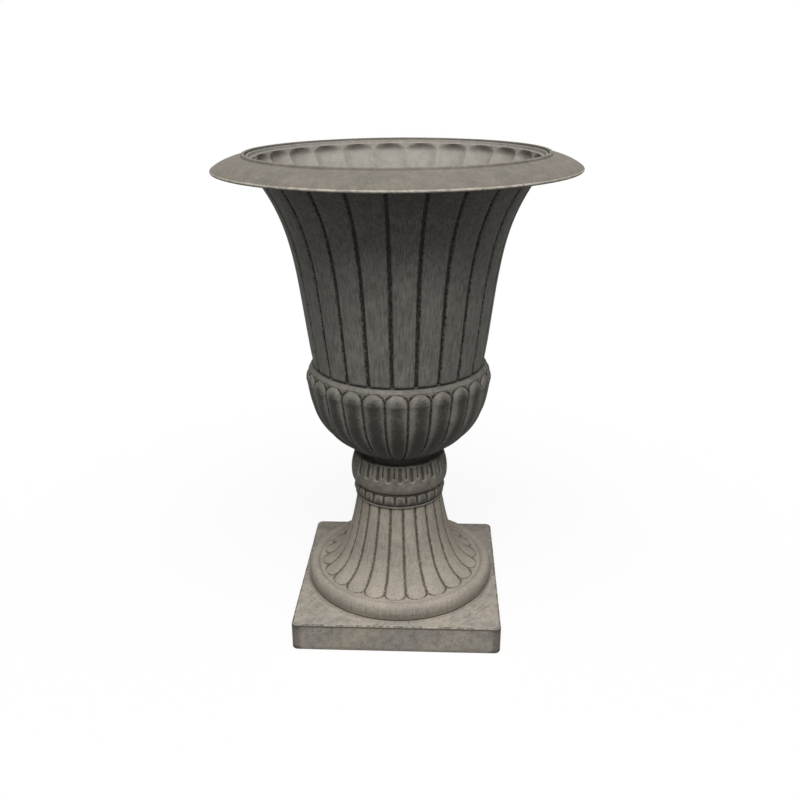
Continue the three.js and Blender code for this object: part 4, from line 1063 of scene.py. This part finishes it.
def pedestal_outline():
    marks = {}
    under_web = PEDESTAL_HEIGHT - WEB
    pen = Outline(0.0, under_web)
    pen.line(SPIGOT_RADIUS, under_web, 6.0)
    pen.add(inset_curve(PETAL_FACE, WALL + 1.8, 4.0)[1:])
    pen.line(109.0, 18.7, 3.0).bend([(112.9, 18.7), (112.9, 14.0)], 1.5).line(112.9, 0.0, 5.0)
    pen.line(116.9, 0.0, 2.0).line(116.9, 4.6, 1.5)
    # the foot ring's lower side darkens down to the plinth: painted shade, with some patina in the cove
    pen.bend([(116.9, 5.4), (117.2, 6.2)], 0.5, wear=-0.8)
    pen.bend([(117.6, 8.5), (117.9, 12.0)], 1.0, wear=-0.34)
    pen.line(117.9, 14.0, wear=-0.32).line(117.6, 16.5, wear=-0.24).line(116.9, 19.0, wear=-0.08)
    pen.bend([(116.6, 21.8), (114.2, 24.0)], 1.0)
    pen.bend([(111.6, 25.7), (108.0, 25.6), (105.6, 23.4)], 1.0)
    marks["petals_start"] = pen.length
    pen.bend([(104.9, 22.3), (103.9, 21.7)], 0.5, wear=-0.2)
    pen.bend([(103.6, 21.7), PETAL_FACE[0]], 0.4, wear=-0.2)
    pen.bend(PETAL_FACE[1:], 1.6)
    pen.edge(51.8, PEDESTAL_HEIGHT, (52.8, PEDESTAL_HEIGHT), 0.5)
    marks["petals_end"] = pen.length
    pen.line(SPIGOT_RADIUS, PEDESTAL_HEIGHT, 3.0).line(SPIGOT_RADIUS, PEDESTAL_HEIGHT + 5.0, 2.0)
    pen.line(SPIGOT_RADIUS - 3.0, PEDESTAL_HEIGHT + 5.0, 1.5).line(SPIGOT_RADIUS - 3.0, PEDESTAL_HEIGHT, 2.0)
    pen.line(0.0, PEDESTAL_HEIGHT, 6.0)
    return pen, marks


outline, marks = pedestal_outline()
petal_panels = panels(
    "First", count=PETAL_COUNT, phase=PETAL_PHASE, start=marks["petals_start"] + PETAL_MOAT * MM,
    end=marks["petals_end"], start_round=0.8, gap=0.7 * MM, edge=1.8 * MM, crown=0.35, depth=1.7 * MM,
    fade_in=6 * MM, outlined=1.0)
pedestal_values = {
    **crowd(PETAL_COUNT, 20, 0.7, PETAL_PHASE), **petal_panels,
    "Wobble": 0.3 * MM, "Wobble scale": 16.0, "Ragged": 0.4 * MM, "Ragged scale": 200.0, "Seed": 9.0}
pedestal = turn_ring("pedestal_shell", outline, foot_height["pedestal"], stone["pedestal"], pedestal_values)

# %% [markdown]
# ## The plinth
#
# A square tray that carries everything. Its outline starts round at the opening under the pedestal, turns
# square on the top face and stays square down the sides and up inside. The wear is drawn by the pen: light
# on the top edge with chips of dark in it, dark along the bottom, and painted shade in the cove round the
# pedestal's foot. The tree adds soot at the upright corners.

# %% The plinth
PLINTH_HEIGHT = 35.0
PLINTH_HALF = 125.0
REBATE_RADIUS = 117.2
OPENING_RADIUS = 96.2
COVE_TOP = top_height["plinth"]
PLATE_LOW, PLATE_HIGH = 29.0, 33.0  # the plate that the pedestal stands on
HEM_WIDTH = 9.0
SIDE_WALL = 4.0
SLOPE_TOP = 12.5  # where the hem has narrowed to the wall


def plinth_outline():
    pen = Outline(OPENING_RADIUS, PLATE_LOW)
    pen.line(OPENING_RADIUS, PLATE_HIGH, 2.0).line(REBATE_RADIUS, PLATE_HIGH, 3.0)
    # the cove round the pedestal's foot ring darkens: painted shade, with some patina
    pen.line(REBATE_RADIUS, COVE_TOP - 0.4, 1.5, wear=-0.5)
    pen.bend([(REBATE_RADIUS + 0.1, COVE_TOP), (REBATE_RADIUS + 0.7, COVE_TOP - 0.6)], 0.3, wear=-0.35)
    pen.bend([(REBATE_RADIUS + 1.4, 35.6), (REBATE_RADIUS + 3.2, PLINTH_HEIGHT + 0.1)], 0.5, wear=-0.22)
    pen.line(REBATE_RADIUS + 4.6, PLINTH_HEIGHT, 0.5, wear=0.1)
    pen.line(PLINTH_HALF - 2.6, PLINTH_HEIGHT, 0.14, squareness=1.0)
    pen.edge(PLINTH_HALF - 0.7, PLINTH_HEIGHT - 0.7, (PLINTH_HALF - 1.3, PLINTH_HEIGHT), 0.45, wear=0.34)
    pen.edge(PLINTH_HALF, PLINTH_HEIGHT - 2.5, (PLINTH_HALF, PLINTH_HEIGHT - 1.3), 0.45, wear=-0.8)
    pen.line(PLINTH_HALF, PLINTH_HEIGHT - 4.5, 0.5, wear=-0.2)
    pen.line(PLINTH_HALF, 5.0, 2.2).line(PLINTH_HALF, 1.8, 0.8, wear=-0.3)
    pen.edge(PLINTH_HALF - 1.8, 0.0, (PLINTH_HALF, 0.0), 0.5, wear=-0.6)
    pen.line(PLINTH_HALF - HEM_WIDTH, 0.0, 2.0).line(PLINTH_HALF - HEM_WIDTH, 7.0, 2.5)
    pen.line(PLINTH_HALF - SIDE_WALL, SLOPE_TOP, 2.5).line(PLINTH_HALF - SIDE_WALL, PLATE_LOW, 4.0)
    pen.line(OPENING_RADIUS, PLATE_LOW, 2.5, squareness=0.0)
    return pen


plinth_values = {
    **crowd(4, 110, 0.5, math.pi / 4), "Corner": 7 * MM, "Corner soot": 0.5,
    "Wobble": 0.45 * MM, "Wobble scale": 22.0, "Seed": 11.0}
plinth = turn_ring("plinth_shell", plinth_outline(), 0.0, stone["base"], plinth_values)

# %% [markdown]
# ## Holes, bosses and ribs
#
# What the patterns don't make is cut or added afterwards: the bolt's hole and the drain in the bowl's
# floor, the drains in the pedestal's web, the holes that the screws pass, the bosses that they bite into
# and the ribs under the plinth. Copies that stand in a ring come from one more tree. It puts a piece on the
# corners of a polygon, turned to face outwards or by a random angle with a fixed seed. Booleans then join
# the ring to the shell or cut it out.

# %% Rings of copies
COPIES_INPUTS = {
    "Piece": ("NodeSocketObject", None),
    "Material": ("NodeSocketMaterial", None),
    "Count": (INTEGER, 4),
    "Reach": (FLOAT, 0.1),
    "Phase": (FLOAT, 0.0),
    "Height": (FLOAT, 0.0),
    "Facing": (FLOAT, 0.0),
    "Random turn": (FLOAT, 0.0),
    "Seed": (INTEGER, 4),
}


def make_copies_tree():
    tree, given = new_tree("ring_of_copies", "GeometryNodeTree", COPIES_INPUTS, SHAPE_OUTPUT)
    tree.is_modifier = True
    piece = add_node(tree, "GeometryNodeObjectInfo", [given["Piece"]], output="Geometry")
    points = add_node(tree, "GeometryNodePoints", {"Count": given["Count"]})
    index = add_node(tree, "GeometryNodeInputIndex")
    angle = index / given["Count"] * math.tau + given["Phase"]
    sideways = angle.math("SINE") * given["Reach"]
    forwards = angle.math("COSINE") * given["Reach"] * -1.0
    place = add_node(tree, "ShaderNodeCombineXYZ", [sideways, forwards, given["Height"]])
    points = add_node(tree, "GeometryNodeSetPosition", {"Geometry": points, "Position": place})
    chance = add_node(tree, "FunctionNodeRandomValue", {"Seed": given["Seed"]}, 1, data_type="FLOAT")
    turn = angle * given["Facing"] + chance * given["Random turn"]
    rotation = add_node(tree, "ShaderNodeCombineXYZ", [0.0, 0.0, turn])
    copies = add_node(
        tree, "GeometryNodeInstanceOnPoints", {"Points": points, "Instance": piece, "Rotation": rotation})
    copies = add_node(tree, "GeometryNodeRealizeInstances", {"Geometry": copies})
    copies = add_node(tree, "GeometryNodeSetMaterial", {"Geometry": copies, "Material": given["Material"]})
    close_tree(tree, {"Geometry": copies})
    return tree


copies_tree = make_copies_tree()


def discard(piece):
    data = piece.data
    bpy.data.objects.remove(piece)
    bpy.data.meshes.remove(data)


def ring_of(name, piece, material, count, reach, phase=0.0, **settings):
    """As many copies of a piece as count says, round the axis. The piece itself goes."""
    values = {"Piece": piece, "Material": material, "Count": count, "Reach": reach * MM, "Phase": phase}
    values |= {label_of(setting): value for setting, value in settings.items()}
    ring = grow(name, copies_tree, values)
    discard(piece)
    return ring


def pin(radius, low, high, sides=40):
    """An upright round pin on the axis, to cut with or to add."""
    pen = Outline(0.0, low).line(radius, low, radius).line(radius, high, high - low).line(0.0, high, radius)
    return turn_ring("pin", pen, 0.0, None, {"Columns": sides})


def cutters(radius, low, high, sides, material, count, reach, phase):
    """A ring of pins to cut holes with."""
    return ring_of("cutter", pin(radius, low, high, sides), material, count, reach, phase)


def block(width, start, end, low, high):
    """A box from start to end in front of the axis."""
    mesh = bmesh.new()
    bmesh.ops.create_cube(mesh, size=1.0)
    middle = Vector((0, -(start + end) / 2, (low + high) / 2))
    for corner in mesh.verts:
        stretched = Vector((corner.co.x * width, corner.co.y * (end - start), corner.co.z * (high - low)))
        corner.co = (stretched + middle) * MM
    data = bpy.data.meshes.new("block")
    mesh.to_mesh(data)
    mesh.free()
    return link(bpy.data.objects.new("block", data))


SHARP_ANGLE = math.radians(50)


def combine(piece, operation, *tools):
    """Cuts the tools out of a piece, or adds them to it, and keeps its corners crisp."""
    for tool in tools:
        modifier = piece.modifiers.new("combine", "BOOLEAN")
        modifier.operation = operation
        modifier.solver = "MANIFOLD"
        modifier.object = tool
        bake_modifiers(piece)
        discard(tool)
    piece.data.set_sharp_from_angle(angle=SHARP_ANGLE)
    print(f"{piece.name}: {len(piece.data.polygons)} faces after {operation.lower()}")


# %% [markdown]
# ## Where they go
#
# A hole is only right when its screw passes it. So how far the screws and the plug are from the axis, and in
# which direction, is measured on the solids of the frame. Only the drains in the web, which nothing passes,
# have a place of their own. Each cutter runs a little past every face that it opens, because one that ends
# on a face leaves slivers.

# %% Holes, bosses and ribs
OVERSHOOT = 2.0  # how far a cutter runs past what it cuts
CLEARANCE = 0.3
BOLT_RADIUS = 5.0
SCREW_RADIUS = 1.75
SCREW_TIP = 3.0
SCREW_HEAD_RADIUS = 3.6
SCREW_HEAD_HEIGHT = 2.4
DRAIN_RADIUS = 8.0
WEB_DRAIN_RADIUS = 6.0
WEB_DRAIN_REACH = 27.5
BOSS_RADIUS = 4.6
BOSS_HEIGHT = 19.0
PILOT_DEPTH = 14.0
RIB_COUNT = 8
RIB_THICKNESS = 3.0
RIB_BITE = 0.5  # how far a rib reaches into the walls that it joins
HOLE_SIDES, BOSS_SIDES, SCREW_SIDES = 40, 24, 16


def place_of(node):
    """How far a node's middle is from the axis, and in which direction."""
    low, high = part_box(node)
    middle = (low + high) / 2 / MM
    return math.hypot(middle.x, middle.y), math.atan2(middle.x, -middle.y)


bell_screw_reach, bell_screw_phase = place_of("bell_screw_1")
base_screw_reach, base_screw_phase = place_of("base_screw_1")
drain_reach, drain_phase = place_of("drain_plug")
screw_hole = SCREW_RADIUS + CLEARANCE
bolt_hole = BOLT_RADIUS + CLEARANCE

bowl_foot = foot_height["bowl"]
floor_cut = (bowl_foot - OVERSHOOT, bowl_foot + BOWL_FLOOR + OVERSHOOT)
flange_cut = (top_height["bowl"] - FLANGE - OVERSHOOT, foot_height["bell"] + FLANGE + OVERSHOOT)
combine(
    bowl, "DIFFERENCE", pin(bolt_hole, *floor_cut),
    cutters(DRAIN_RADIUS, *floor_cut, HOLE_SIDES, stone["bowl"], 1, drain_reach, drain_phase),
    cutters(screw_hole, *flange_cut, SCREW_SIDES, stone["bowl"], 6, bell_screw_reach, bell_screw_phase))
combine(
    bell, "DIFFERENCE",
    cutters(screw_hole, *flange_cut, SCREW_SIDES, stone["bell"], 6, bell_screw_reach, bell_screw_phase))

web_top = foot_height["pedestal"] + PEDESTAL_HEIGHT
web_cut = (web_top - WEB - OVERSHOOT, web_top + OVERSHOOT)
boss_foot = foot_height["pedestal"]
boss = pin(BOSS_RADIUS, boss_foot, boss_foot + BOSS_HEIGHT, BOSS_SIDES)
pilot_cut = (boss_foot - OVERSHOOT, boss_foot + PILOT_DEPTH)
combine(pedestal, "UNION", ring_of("bosses", boss, stone["pedestal"], 4, base_screw_reach, base_screw_phase))
combine(
    pedestal, "DIFFERENCE", pin(bolt_hole, *web_cut),
    cutters(WEB_DRAIN_RADIUS, *web_cut, HOLE_SIDES, stone["pedestal"], 4, WEB_DRAIN_REACH, math.pi / 4),
    cutters(screw_hole, *pilot_cut, SCREW_SIDES, stone["pedestal"], 4, base_screw_reach, base_screw_phase))

rib_slant = math.cos(math.pi / RIB_COUNT)
rib_end = PLINTH_HALF - SIDE_WALL + RIB_BITE
rib = block(RIB_THICKNESS, OPENING_RADIUS + 1.0, rib_end / rib_slant, SLOPE_TOP, PLATE_LOW + RIB_BITE)
plate_cut = (PLATE_LOW - OVERSHOOT, PLATE_HIGH + OVERSHOOT)
combine(plinth, "UNION", ring_of("ribs", rib, stone["base"], RIB_COUNT, 0.0, math.pi / RIB_COUNT, facing=1.0))
combine(
    plinth, "DIFFERENCE",
    cutters(screw_hole, *plate_cut, SCREW_SIDES, stone["base"], 4, base_screw_reach, base_screw_phase))

# %% [markdown]
# ## Zinc and rubber
#
# The fasteners are zinc plated steel: a metal whose grey shifts in small patches and whose sheen breaks up
# where the plating is thin. The gasket and the plug are black rubber with a dusty bloom. Neither needs an
# attribute, so noise on Object coordinates is enough. The values that are the same all over are set on the
# shader itself.

# %% Zinc and rubber
FINE_RELIEF = 0.1 * MM  # depth of the bumps on both
ZINC_PATCHES, ZINC_FINE = 160.0, 1500.0  # scales of the noises
RUBBER_BLOOM, RUBBER_FINE = 120.0, 1800.0


def make_zinc():
    material = new_material("zinc_plate")
    tree = material.node_tree
    place = add_node(tree, "ShaderNodeTexCoord", output="Object")
    patches = texture_noise(tree, place, ZINC_PATCHES, 4.0, 0.6)
    fine = texture_noise(tree, place, ZINC_FINE, 3.0, 0.6)
    colour = mix_colours(tree, patches.smooth(0.35, 0.65), tone(196, 198, 198), tone(168, 170, 173))
    colour = mix_colours(tree, fine.smooth(0.6, 0.75) * 0.5, colour, tone(120, 118, 112))
    rough = patches * 0.25 + fine * 0.1 + 0.2
    surface = {"Base Color": colour, "Metallic": 1.0, "Roughness": rough}
    finish_material(tree, {**surface, "Normal": add_bump(tree, fine, 0.4, FINE_RELIEF)})
    return material


def make_rubber():
    material = new_material("black_rubber")
    tree = material.node_tree
    place = add_node(tree, "ShaderNodeTexCoord", output="Object")
    bloom = texture_noise(tree, place, RUBBER_BLOOM, 4.0, 0.6)
    fine = texture_noise(tree, place, RUBBER_FINE, 2.0, 0.5)
    colour = mix_colours(tree, bloom.smooth(0.45, 0.7) * 0.6, tone(30, 30, 30), tone(54, 53, 51))
    surface = {"Base Color": colour, "Roughness": bloom * 0.2 + 0.6, "Specular IOR Level": 0.35}
    finish_material(tree, {**surface, "Normal": add_bump(tree, fine, 0.3, FINE_RELIEF)})
    return material


zinc, rubber = make_zinc(), make_rubber()
print("finishes of the fasteners:", zinc.name, "and", rubber.name)

# %% [markdown]
# ## Bolt, washers, gasket and plug
#
# One bolt through the bowl's floor, the collar and the pedestal's web holds the urn together. It is drawn
# as an outline like the shells. Its head is a row that turns hexagonal, and its thread is one panel that
# winds round the shank. The rubber plug sits in the drain beside it, and comes out when the urn stands in
# the rain.

# %% Bolt, washers, gasket and plug
BOLT_HEAD_HEIGHT = 6.5
BOLT_FLATS = 8.5  # from the axis to a flat of the head
BOLT_THREAD = 50.0  # length of the thread
BOLT_PITCH = 1.5
ROUNDING = 0.4
PLUG_FLANGE = 9.7
PLUG_DEPTH = 7.5
PLUG_TOP = 11.0


def disc_outline(bore, radius, thickness):
    """A washer's outline, its edges softened as stamping leaves them."""
    pen = Outline(bore, ROUNDING)
    pen.edge(bore + ROUNDING, 0.0, (bore, 0.0), 0.2).line(radius - ROUNDING, 0.0, 2.0)
    pen.edge(radius, ROUNDING, (radius, 0.0), 0.2).line(radius, thickness - ROUNDING, 0.5)
    pen.edge(radius - ROUNDING, thickness, (radius, thickness), 0.2).line(bore + ROUNDING, thickness, 2.0)
    return pen.edge(bore, thickness - ROUNDING, (bore, thickness), 0.2).line(bore, ROUNDING, 0.5)


def make_disc(node, material, name):
    low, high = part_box(node)
    outline = disc_outline(bolt_hole, high.x / MM, (high.z - low.z) / MM)
    return turn_ring(name, outline, low.z / MM, material, {"Columns": 64})


def thread(start, radius, turns, pitch, depth):
    """Inputs for one panel that winds up the outline."""
    end = start + turns * pitch * MM
    around = math.tau * radius * MM
    return panels(
        "First", count=1.0, start=start, end=end, gap=0.02 * around, edge=0.42 * around, depth=depth * MM,
        fade_out=3 * MM, twist=1 / (pitch * MM), soot=0.0)


def make_bolt():
    length = top_height["centre_bolt"] - BOLT_HEAD_HEIGHT - foot_height["centre_bolt"]
    pen = Outline(0.0, -length).line(BOLT_RADIUS - 1.0, -length, 1.0)
    start = pen.length
    pen.line(BOLT_RADIUS, 1.0 - length, 0.25).line(BOLT_RADIUS, BOLT_THREAD - length, 0.25)
    pen.line(BOLT_RADIUS, 0.0, 4.0).line(BOLT_FLATS - 0.5, 0.0, 1.0)
    pen.line(BOLT_FLATS - 0.3, 0.3, 0.3, squareness=0.0).line(BOLT_FLATS, 0.9, 0.4, squareness=1.0)
    pen.line(BOLT_FLATS, BOLT_HEAD_HEIGHT - 1.0, 1.0)
    pen.line(BOLT_FLATS - 0.5, BOLT_HEAD_HEIGHT, 0.4, squareness=0.0).line(0.0, BOLT_HEAD_HEIGHT, 2.0)
    winding = thread(start, BOLT_RADIUS, BOLT_THREAD / BOLT_PITCH - 2, BOLT_PITCH, 0.8)
    values = {"Columns": 48, "Sides": 6.0, "Corner": 0.5 * MM, **winding}
    bolt = turn_ring("clamp_bolt", pen, foot_height["centre_bolt"] + length, zinc, values)
    bolt.data.set_sharp_from_angle(angle=SHARP_ANGLE)
    return bolt


def make_plug():
    barrel = DRAIN_RADIUS - 0.5
    pen = Outline(0.0, -PLUG_DEPTH).line(barrel - 1.4, -PLUG_DEPTH, 2.0)
    pen.edge(barrel - 0.6, 1.0 - PLUG_DEPTH, (barrel - 0.8, -PLUG_DEPTH), 0.3)
    pen.bend([(barrel, -5.2), (barrel - 0.5, -4.2)], 0.3)
    pen.bend([(barrel + 0.1, -3.2), (barrel - 0.4, -2.0)], 0.3)
    pen.line(barrel - 0.4, 0.0, 0.6).line(PLUG_FLANGE - 0.6, 0.0, 0.8)
    pen.edge(PLUG_FLANGE, 0.7, (PLUG_FLANGE, 0.0), 0.2)
    pen.bend([(PLUG_FLANGE, 1.9), (PLUG_FLANGE - 1.4, 2.3), (5.6, 2.7)], 0.4)
    pen.bend([(2.9, 3.0), (2.5, 5.4)], 0.4).bend([(2.5, 6.6), (4.2, 7.0), (4.2, 8.9)], 0.4)
    pen.bend([(4.2, 10.8), (2.6, PLUG_TOP), (0.0, PLUG_TOP)], 0.4)
    plug = turn_ring("drain_stopper", pen, 0.0, rubber, {"Columns": 56})
    seat = bowl_foot + BOWL_FLOOR + CLEARANCE
    place = Vector((drain_reach * math.sin(drain_phase), -drain_reach * math.cos(drain_phase), seat)) * MM
    plug.data.transform(Matrix.Translation(place))
    return plug


bolt = make_bolt()
gasket = make_disc("bolt_gasket", rubber, "gasket_disc")
top_washer = make_disc("upper_washer", zinc, "top_washer_disc")
web_washer = make_disc("lower_washer", zinc, "web_washer_disc")
plug = make_plug()

# %% [markdown]
# ## The screws
#
# Six pan-head screws hold the bell to the bowl and four hold the pedestal to the plinth, heads down. They
# are one screw, turned with its thread, cut with a cross and copied round the axis. Each gets a random
# turn, because nobody stops a screw at the same angle twice.

# %% The screws
SCREW_PITCH = 1.4
CROSS_WIDTH = 0.9
CROSS_REACH = 2.1
CROSS_DEPTH = 1.3


def make_screw(length, head_down=False):
    pen = Outline(0.0, -length).bend([(0.3, -length), (SCREW_RADIUS, SCREW_TIP - length)], 0.3)
    pen.line(SCREW_RADIUS, -1.5, 0.28).line(SCREW_RADIUS, 0.0, 0.5).line(SCREW_HEAD_RADIUS - 0.2, 0.0, 0.6)
    pen.edge(SCREW_HEAD_RADIUS, 0.3, (SCREW_HEAD_RADIUS, 0.0), 0.15)
    pen.bend([(SCREW_HEAD_RADIUS, 1.9), (2.4, SCREW_HEAD_HEIGHT), (0.0, SCREW_HEAD_HEIGHT)], 0.4)
    winding = thread(0.5 * MM, SCREW_RADIUS, (length - SCREW_TIP) / SCREW_PITCH, SCREW_PITCH, 0.5)
    screw = turn_ring("screw", pen, 0.0, zinc, {"Columns": 24, **winding})
    cross = (CROSS_WIDTH, -CROSS_REACH, CROSS_REACH, SCREW_HEAD_HEIGHT - CROSS_DEPTH, SCREW_HEAD_HEIGHT + 1.0)
    bars = [block(*cross), block(*cross)]
    bars[1].data.transform(Matrix.Rotation(math.pi / 2, 4, "Z"))
    combine(screw, "DIFFERENCE", *bars)
    if head_down:
        screw.data.transform(Matrix.Rotation(math.pi, 4, "X"))
    return screw


def ring_of_screws(name, node, count, reach, phase, head_down=False):
    low, high = foot_height[node], top_height[node]
    length = high - low - SCREW_HEAD_HEIGHT
    seat = low + SCREW_HEAD_HEIGHT if head_down else high - SCREW_HEAD_HEIGHT
    screw = make_screw(length, head_down)
    return ring_of(name, screw, zinc, count, reach, phase, height=seat * MM, random_turn=math.tau)


bell_screws = ring_of_screws("bell_screws", "bell_screw_1", 6, bell_screw_reach, bell_screw_phase)
base_screws = ring_of_screws(
    "base_screws", "base_screw_1", 4, base_screw_reach, base_screw_phase, head_down=True)

# %% [markdown]
# ## Riding the frame
#
# Every piece says which body it moves with, which measured solids it stands for, and which finish slot it
# takes. The wing nut's solid has the right shape already, so it stays and only takes the zinc.

# %% Riding the frame
riders = [
    (rim, "urn", "rim_shell", ["rim_ring"]),
    (bell, "urn", "dark_shell", ["bell"]),
    (bowl, "urn", "dark_shell", ["bowl"]),
    (collar, "urn", "mid_shell", ["neck_collar"]),
    (pedestal, "urn", "pale_shell", ["pedestal"]),
    (plinth, "urn", "pale_shell", ["plinth"]),
    (bolt, "urn", "zinc", ["centre_bolt"]),
    (gasket, "urn", "rubber", ["bolt_gasket"]),
    (top_washer, "urn", "zinc", ["upper_washer"]),
    (web_washer, "urn", "zinc", ["lower_washer"]),
    (bell_screws, "urn", "zinc", [f"bell_screw_{number}" for number in range(1, 7)]),
    (base_screws, "urn", "zinc", [f"base_screw_{number}" for number in range(1, 5)]),
    (plug, "plug", "rubber", ["drain_plug"]),
]
for piece, body, slot, nodes in riders:
    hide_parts(*nodes)
    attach(piece, body)
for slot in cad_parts["wing_nut"].material_slots:
    slot.material = zinc
print(len(riders), "pieces ride the frame")

# %% [markdown]
# ## Floor and light
#
# The photograph is a cut-out on white, lit from above: tops are bright, sides are half as bright, and
# everything under the rim or the bowl falls away into dark. One broad softbox high in front does that, with
# a weak fill lower down and a dim world. The floor shows white to the camera and still takes the urn's
# shadow.

# %% Floor and light
WHITE = (1.0, 1.0, 1.0, 1.0)
FLOOR_GREY = (0.16, 0.16, 0.155, 1.0)  # what the floor throws back at the urn
FLOOR_SIDE = 6.0
SHADOW_NEAR, SHADOW_FAR = 0.3, 0.8  # metres from the axis between which the floor's shadow fades out
SHADOW_GLOW = 0.92  # how much of the floor's white is its own near the urn
WORLD_COLOUR = (0.95, 0.98, 1.0, 1.0)
WORLD_STRENGTH = 0.045
LAMP_TARGET = (0, 0, 0.3)
LAMP_COLOUR = (1.0, 0.985, 0.965)


def seen_directly(tree):
    """1 for rays that show the background: from the camera, mirrored or seen through something."""
    path = tree.nodes.new("ShaderNodeLightPath")
    names = ("Is Camera Ray", "Is Glossy Ray", "Is Transmission Ray")
    camera, glossy, through = [Wire(tree, path.outputs[name]) for name in names]
    return camera.math("MAXIMUM", glossy).math("MAXIMUM", through)


def mix_shaders(tree, share, first, second):
    return add_node(tree, "ShaderNodeMixShader", [share, first, second])


def make_floor():
    mesh = bpy.data.meshes.new("floor")
    corners = [(x * FLOOR_SIDE, y * FLOOR_SIDE, 0) for x, y in ((-1, -1), (1, -1), (1, 1), (-1, 1))]
    mesh.from_pydata(corners, [], [(0, 1, 2, 3)])
    floor = link(bpy.data.objects.new("floor", mesh))
    material = new_material("white_floor")
    tree = material.node_tree
    seen = seen_directly(tree)
    place = add_node(tree, "ShaderNodeTexCoord", output="Object")
    from_axis = add_node(tree, "ShaderNodeVectorMath", [place], "Value", operation="LENGTH")
    own_share = seen * from_axis.smooth(SHADOW_NEAR, SHADOW_FAR, SHADOW_GLOW, 1.0)
    matt = add_node(tree, "ShaderNodeBsdfDiffuse", {"Color": mix_colours(tree, seen, FLOOR_GREY, WHITE)})
    glow = add_node(tree, "ShaderNodeEmission", {"Color": WHITE, "Strength": 1.0})
    wire_output(tree, mix_shaders(tree, own_share, matt, glow))
    mesh.materials.append(material)


def make_world():
    world = bpy.data.worlds.new("studio")
    bpy.context.scene.world = world
    world.use_nodes = True
    tree = world.node_tree
    tree.nodes.clear()
    dim = add_node(tree, "ShaderNodeBackground", {"Color": WORLD_COLOUR, "Strength": WORLD_STRENGTH})
    white = add_node(tree, "ShaderNodeBackground", {"Color": WHITE, "Strength": 1.0})
    output = tree.nodes.new("ShaderNodeOutputWorld")
    tree.links.new(mix_shaders(tree, seen_directly(tree), dim, white).socket, output.inputs["Surface"])


def make_softbox(name, place, side, power):
    data = bpy.data.lights.new(name, "AREA")
    data.shape = "SQUARE"
    data.size = side
    data.energy = power
    data.color = LAMP_COLOUR
    lamp = link(bpy.data.objects.new(name, data))
    lamp.location = place
    lamp.rotation_euler = (Vector(LAMP_TARGET) - Vector(place)).to_track_quat("-Z", "Y").to_euler()
    return lamp


make_floor()
make_world()
lamps = [
    make_softbox("top_softbox", place=(0.1, -2.1, 4.2), side=3.4, power=255.0),
    make_softbox("front_fill", place=(0.4, -2.2, 0.9), side=1.6, power=1.6),
]
bpy.context.scene.view_settings.view_transform = "Standard"
print("lamps:", ", ".join(lamp.name for lamp in lamps))
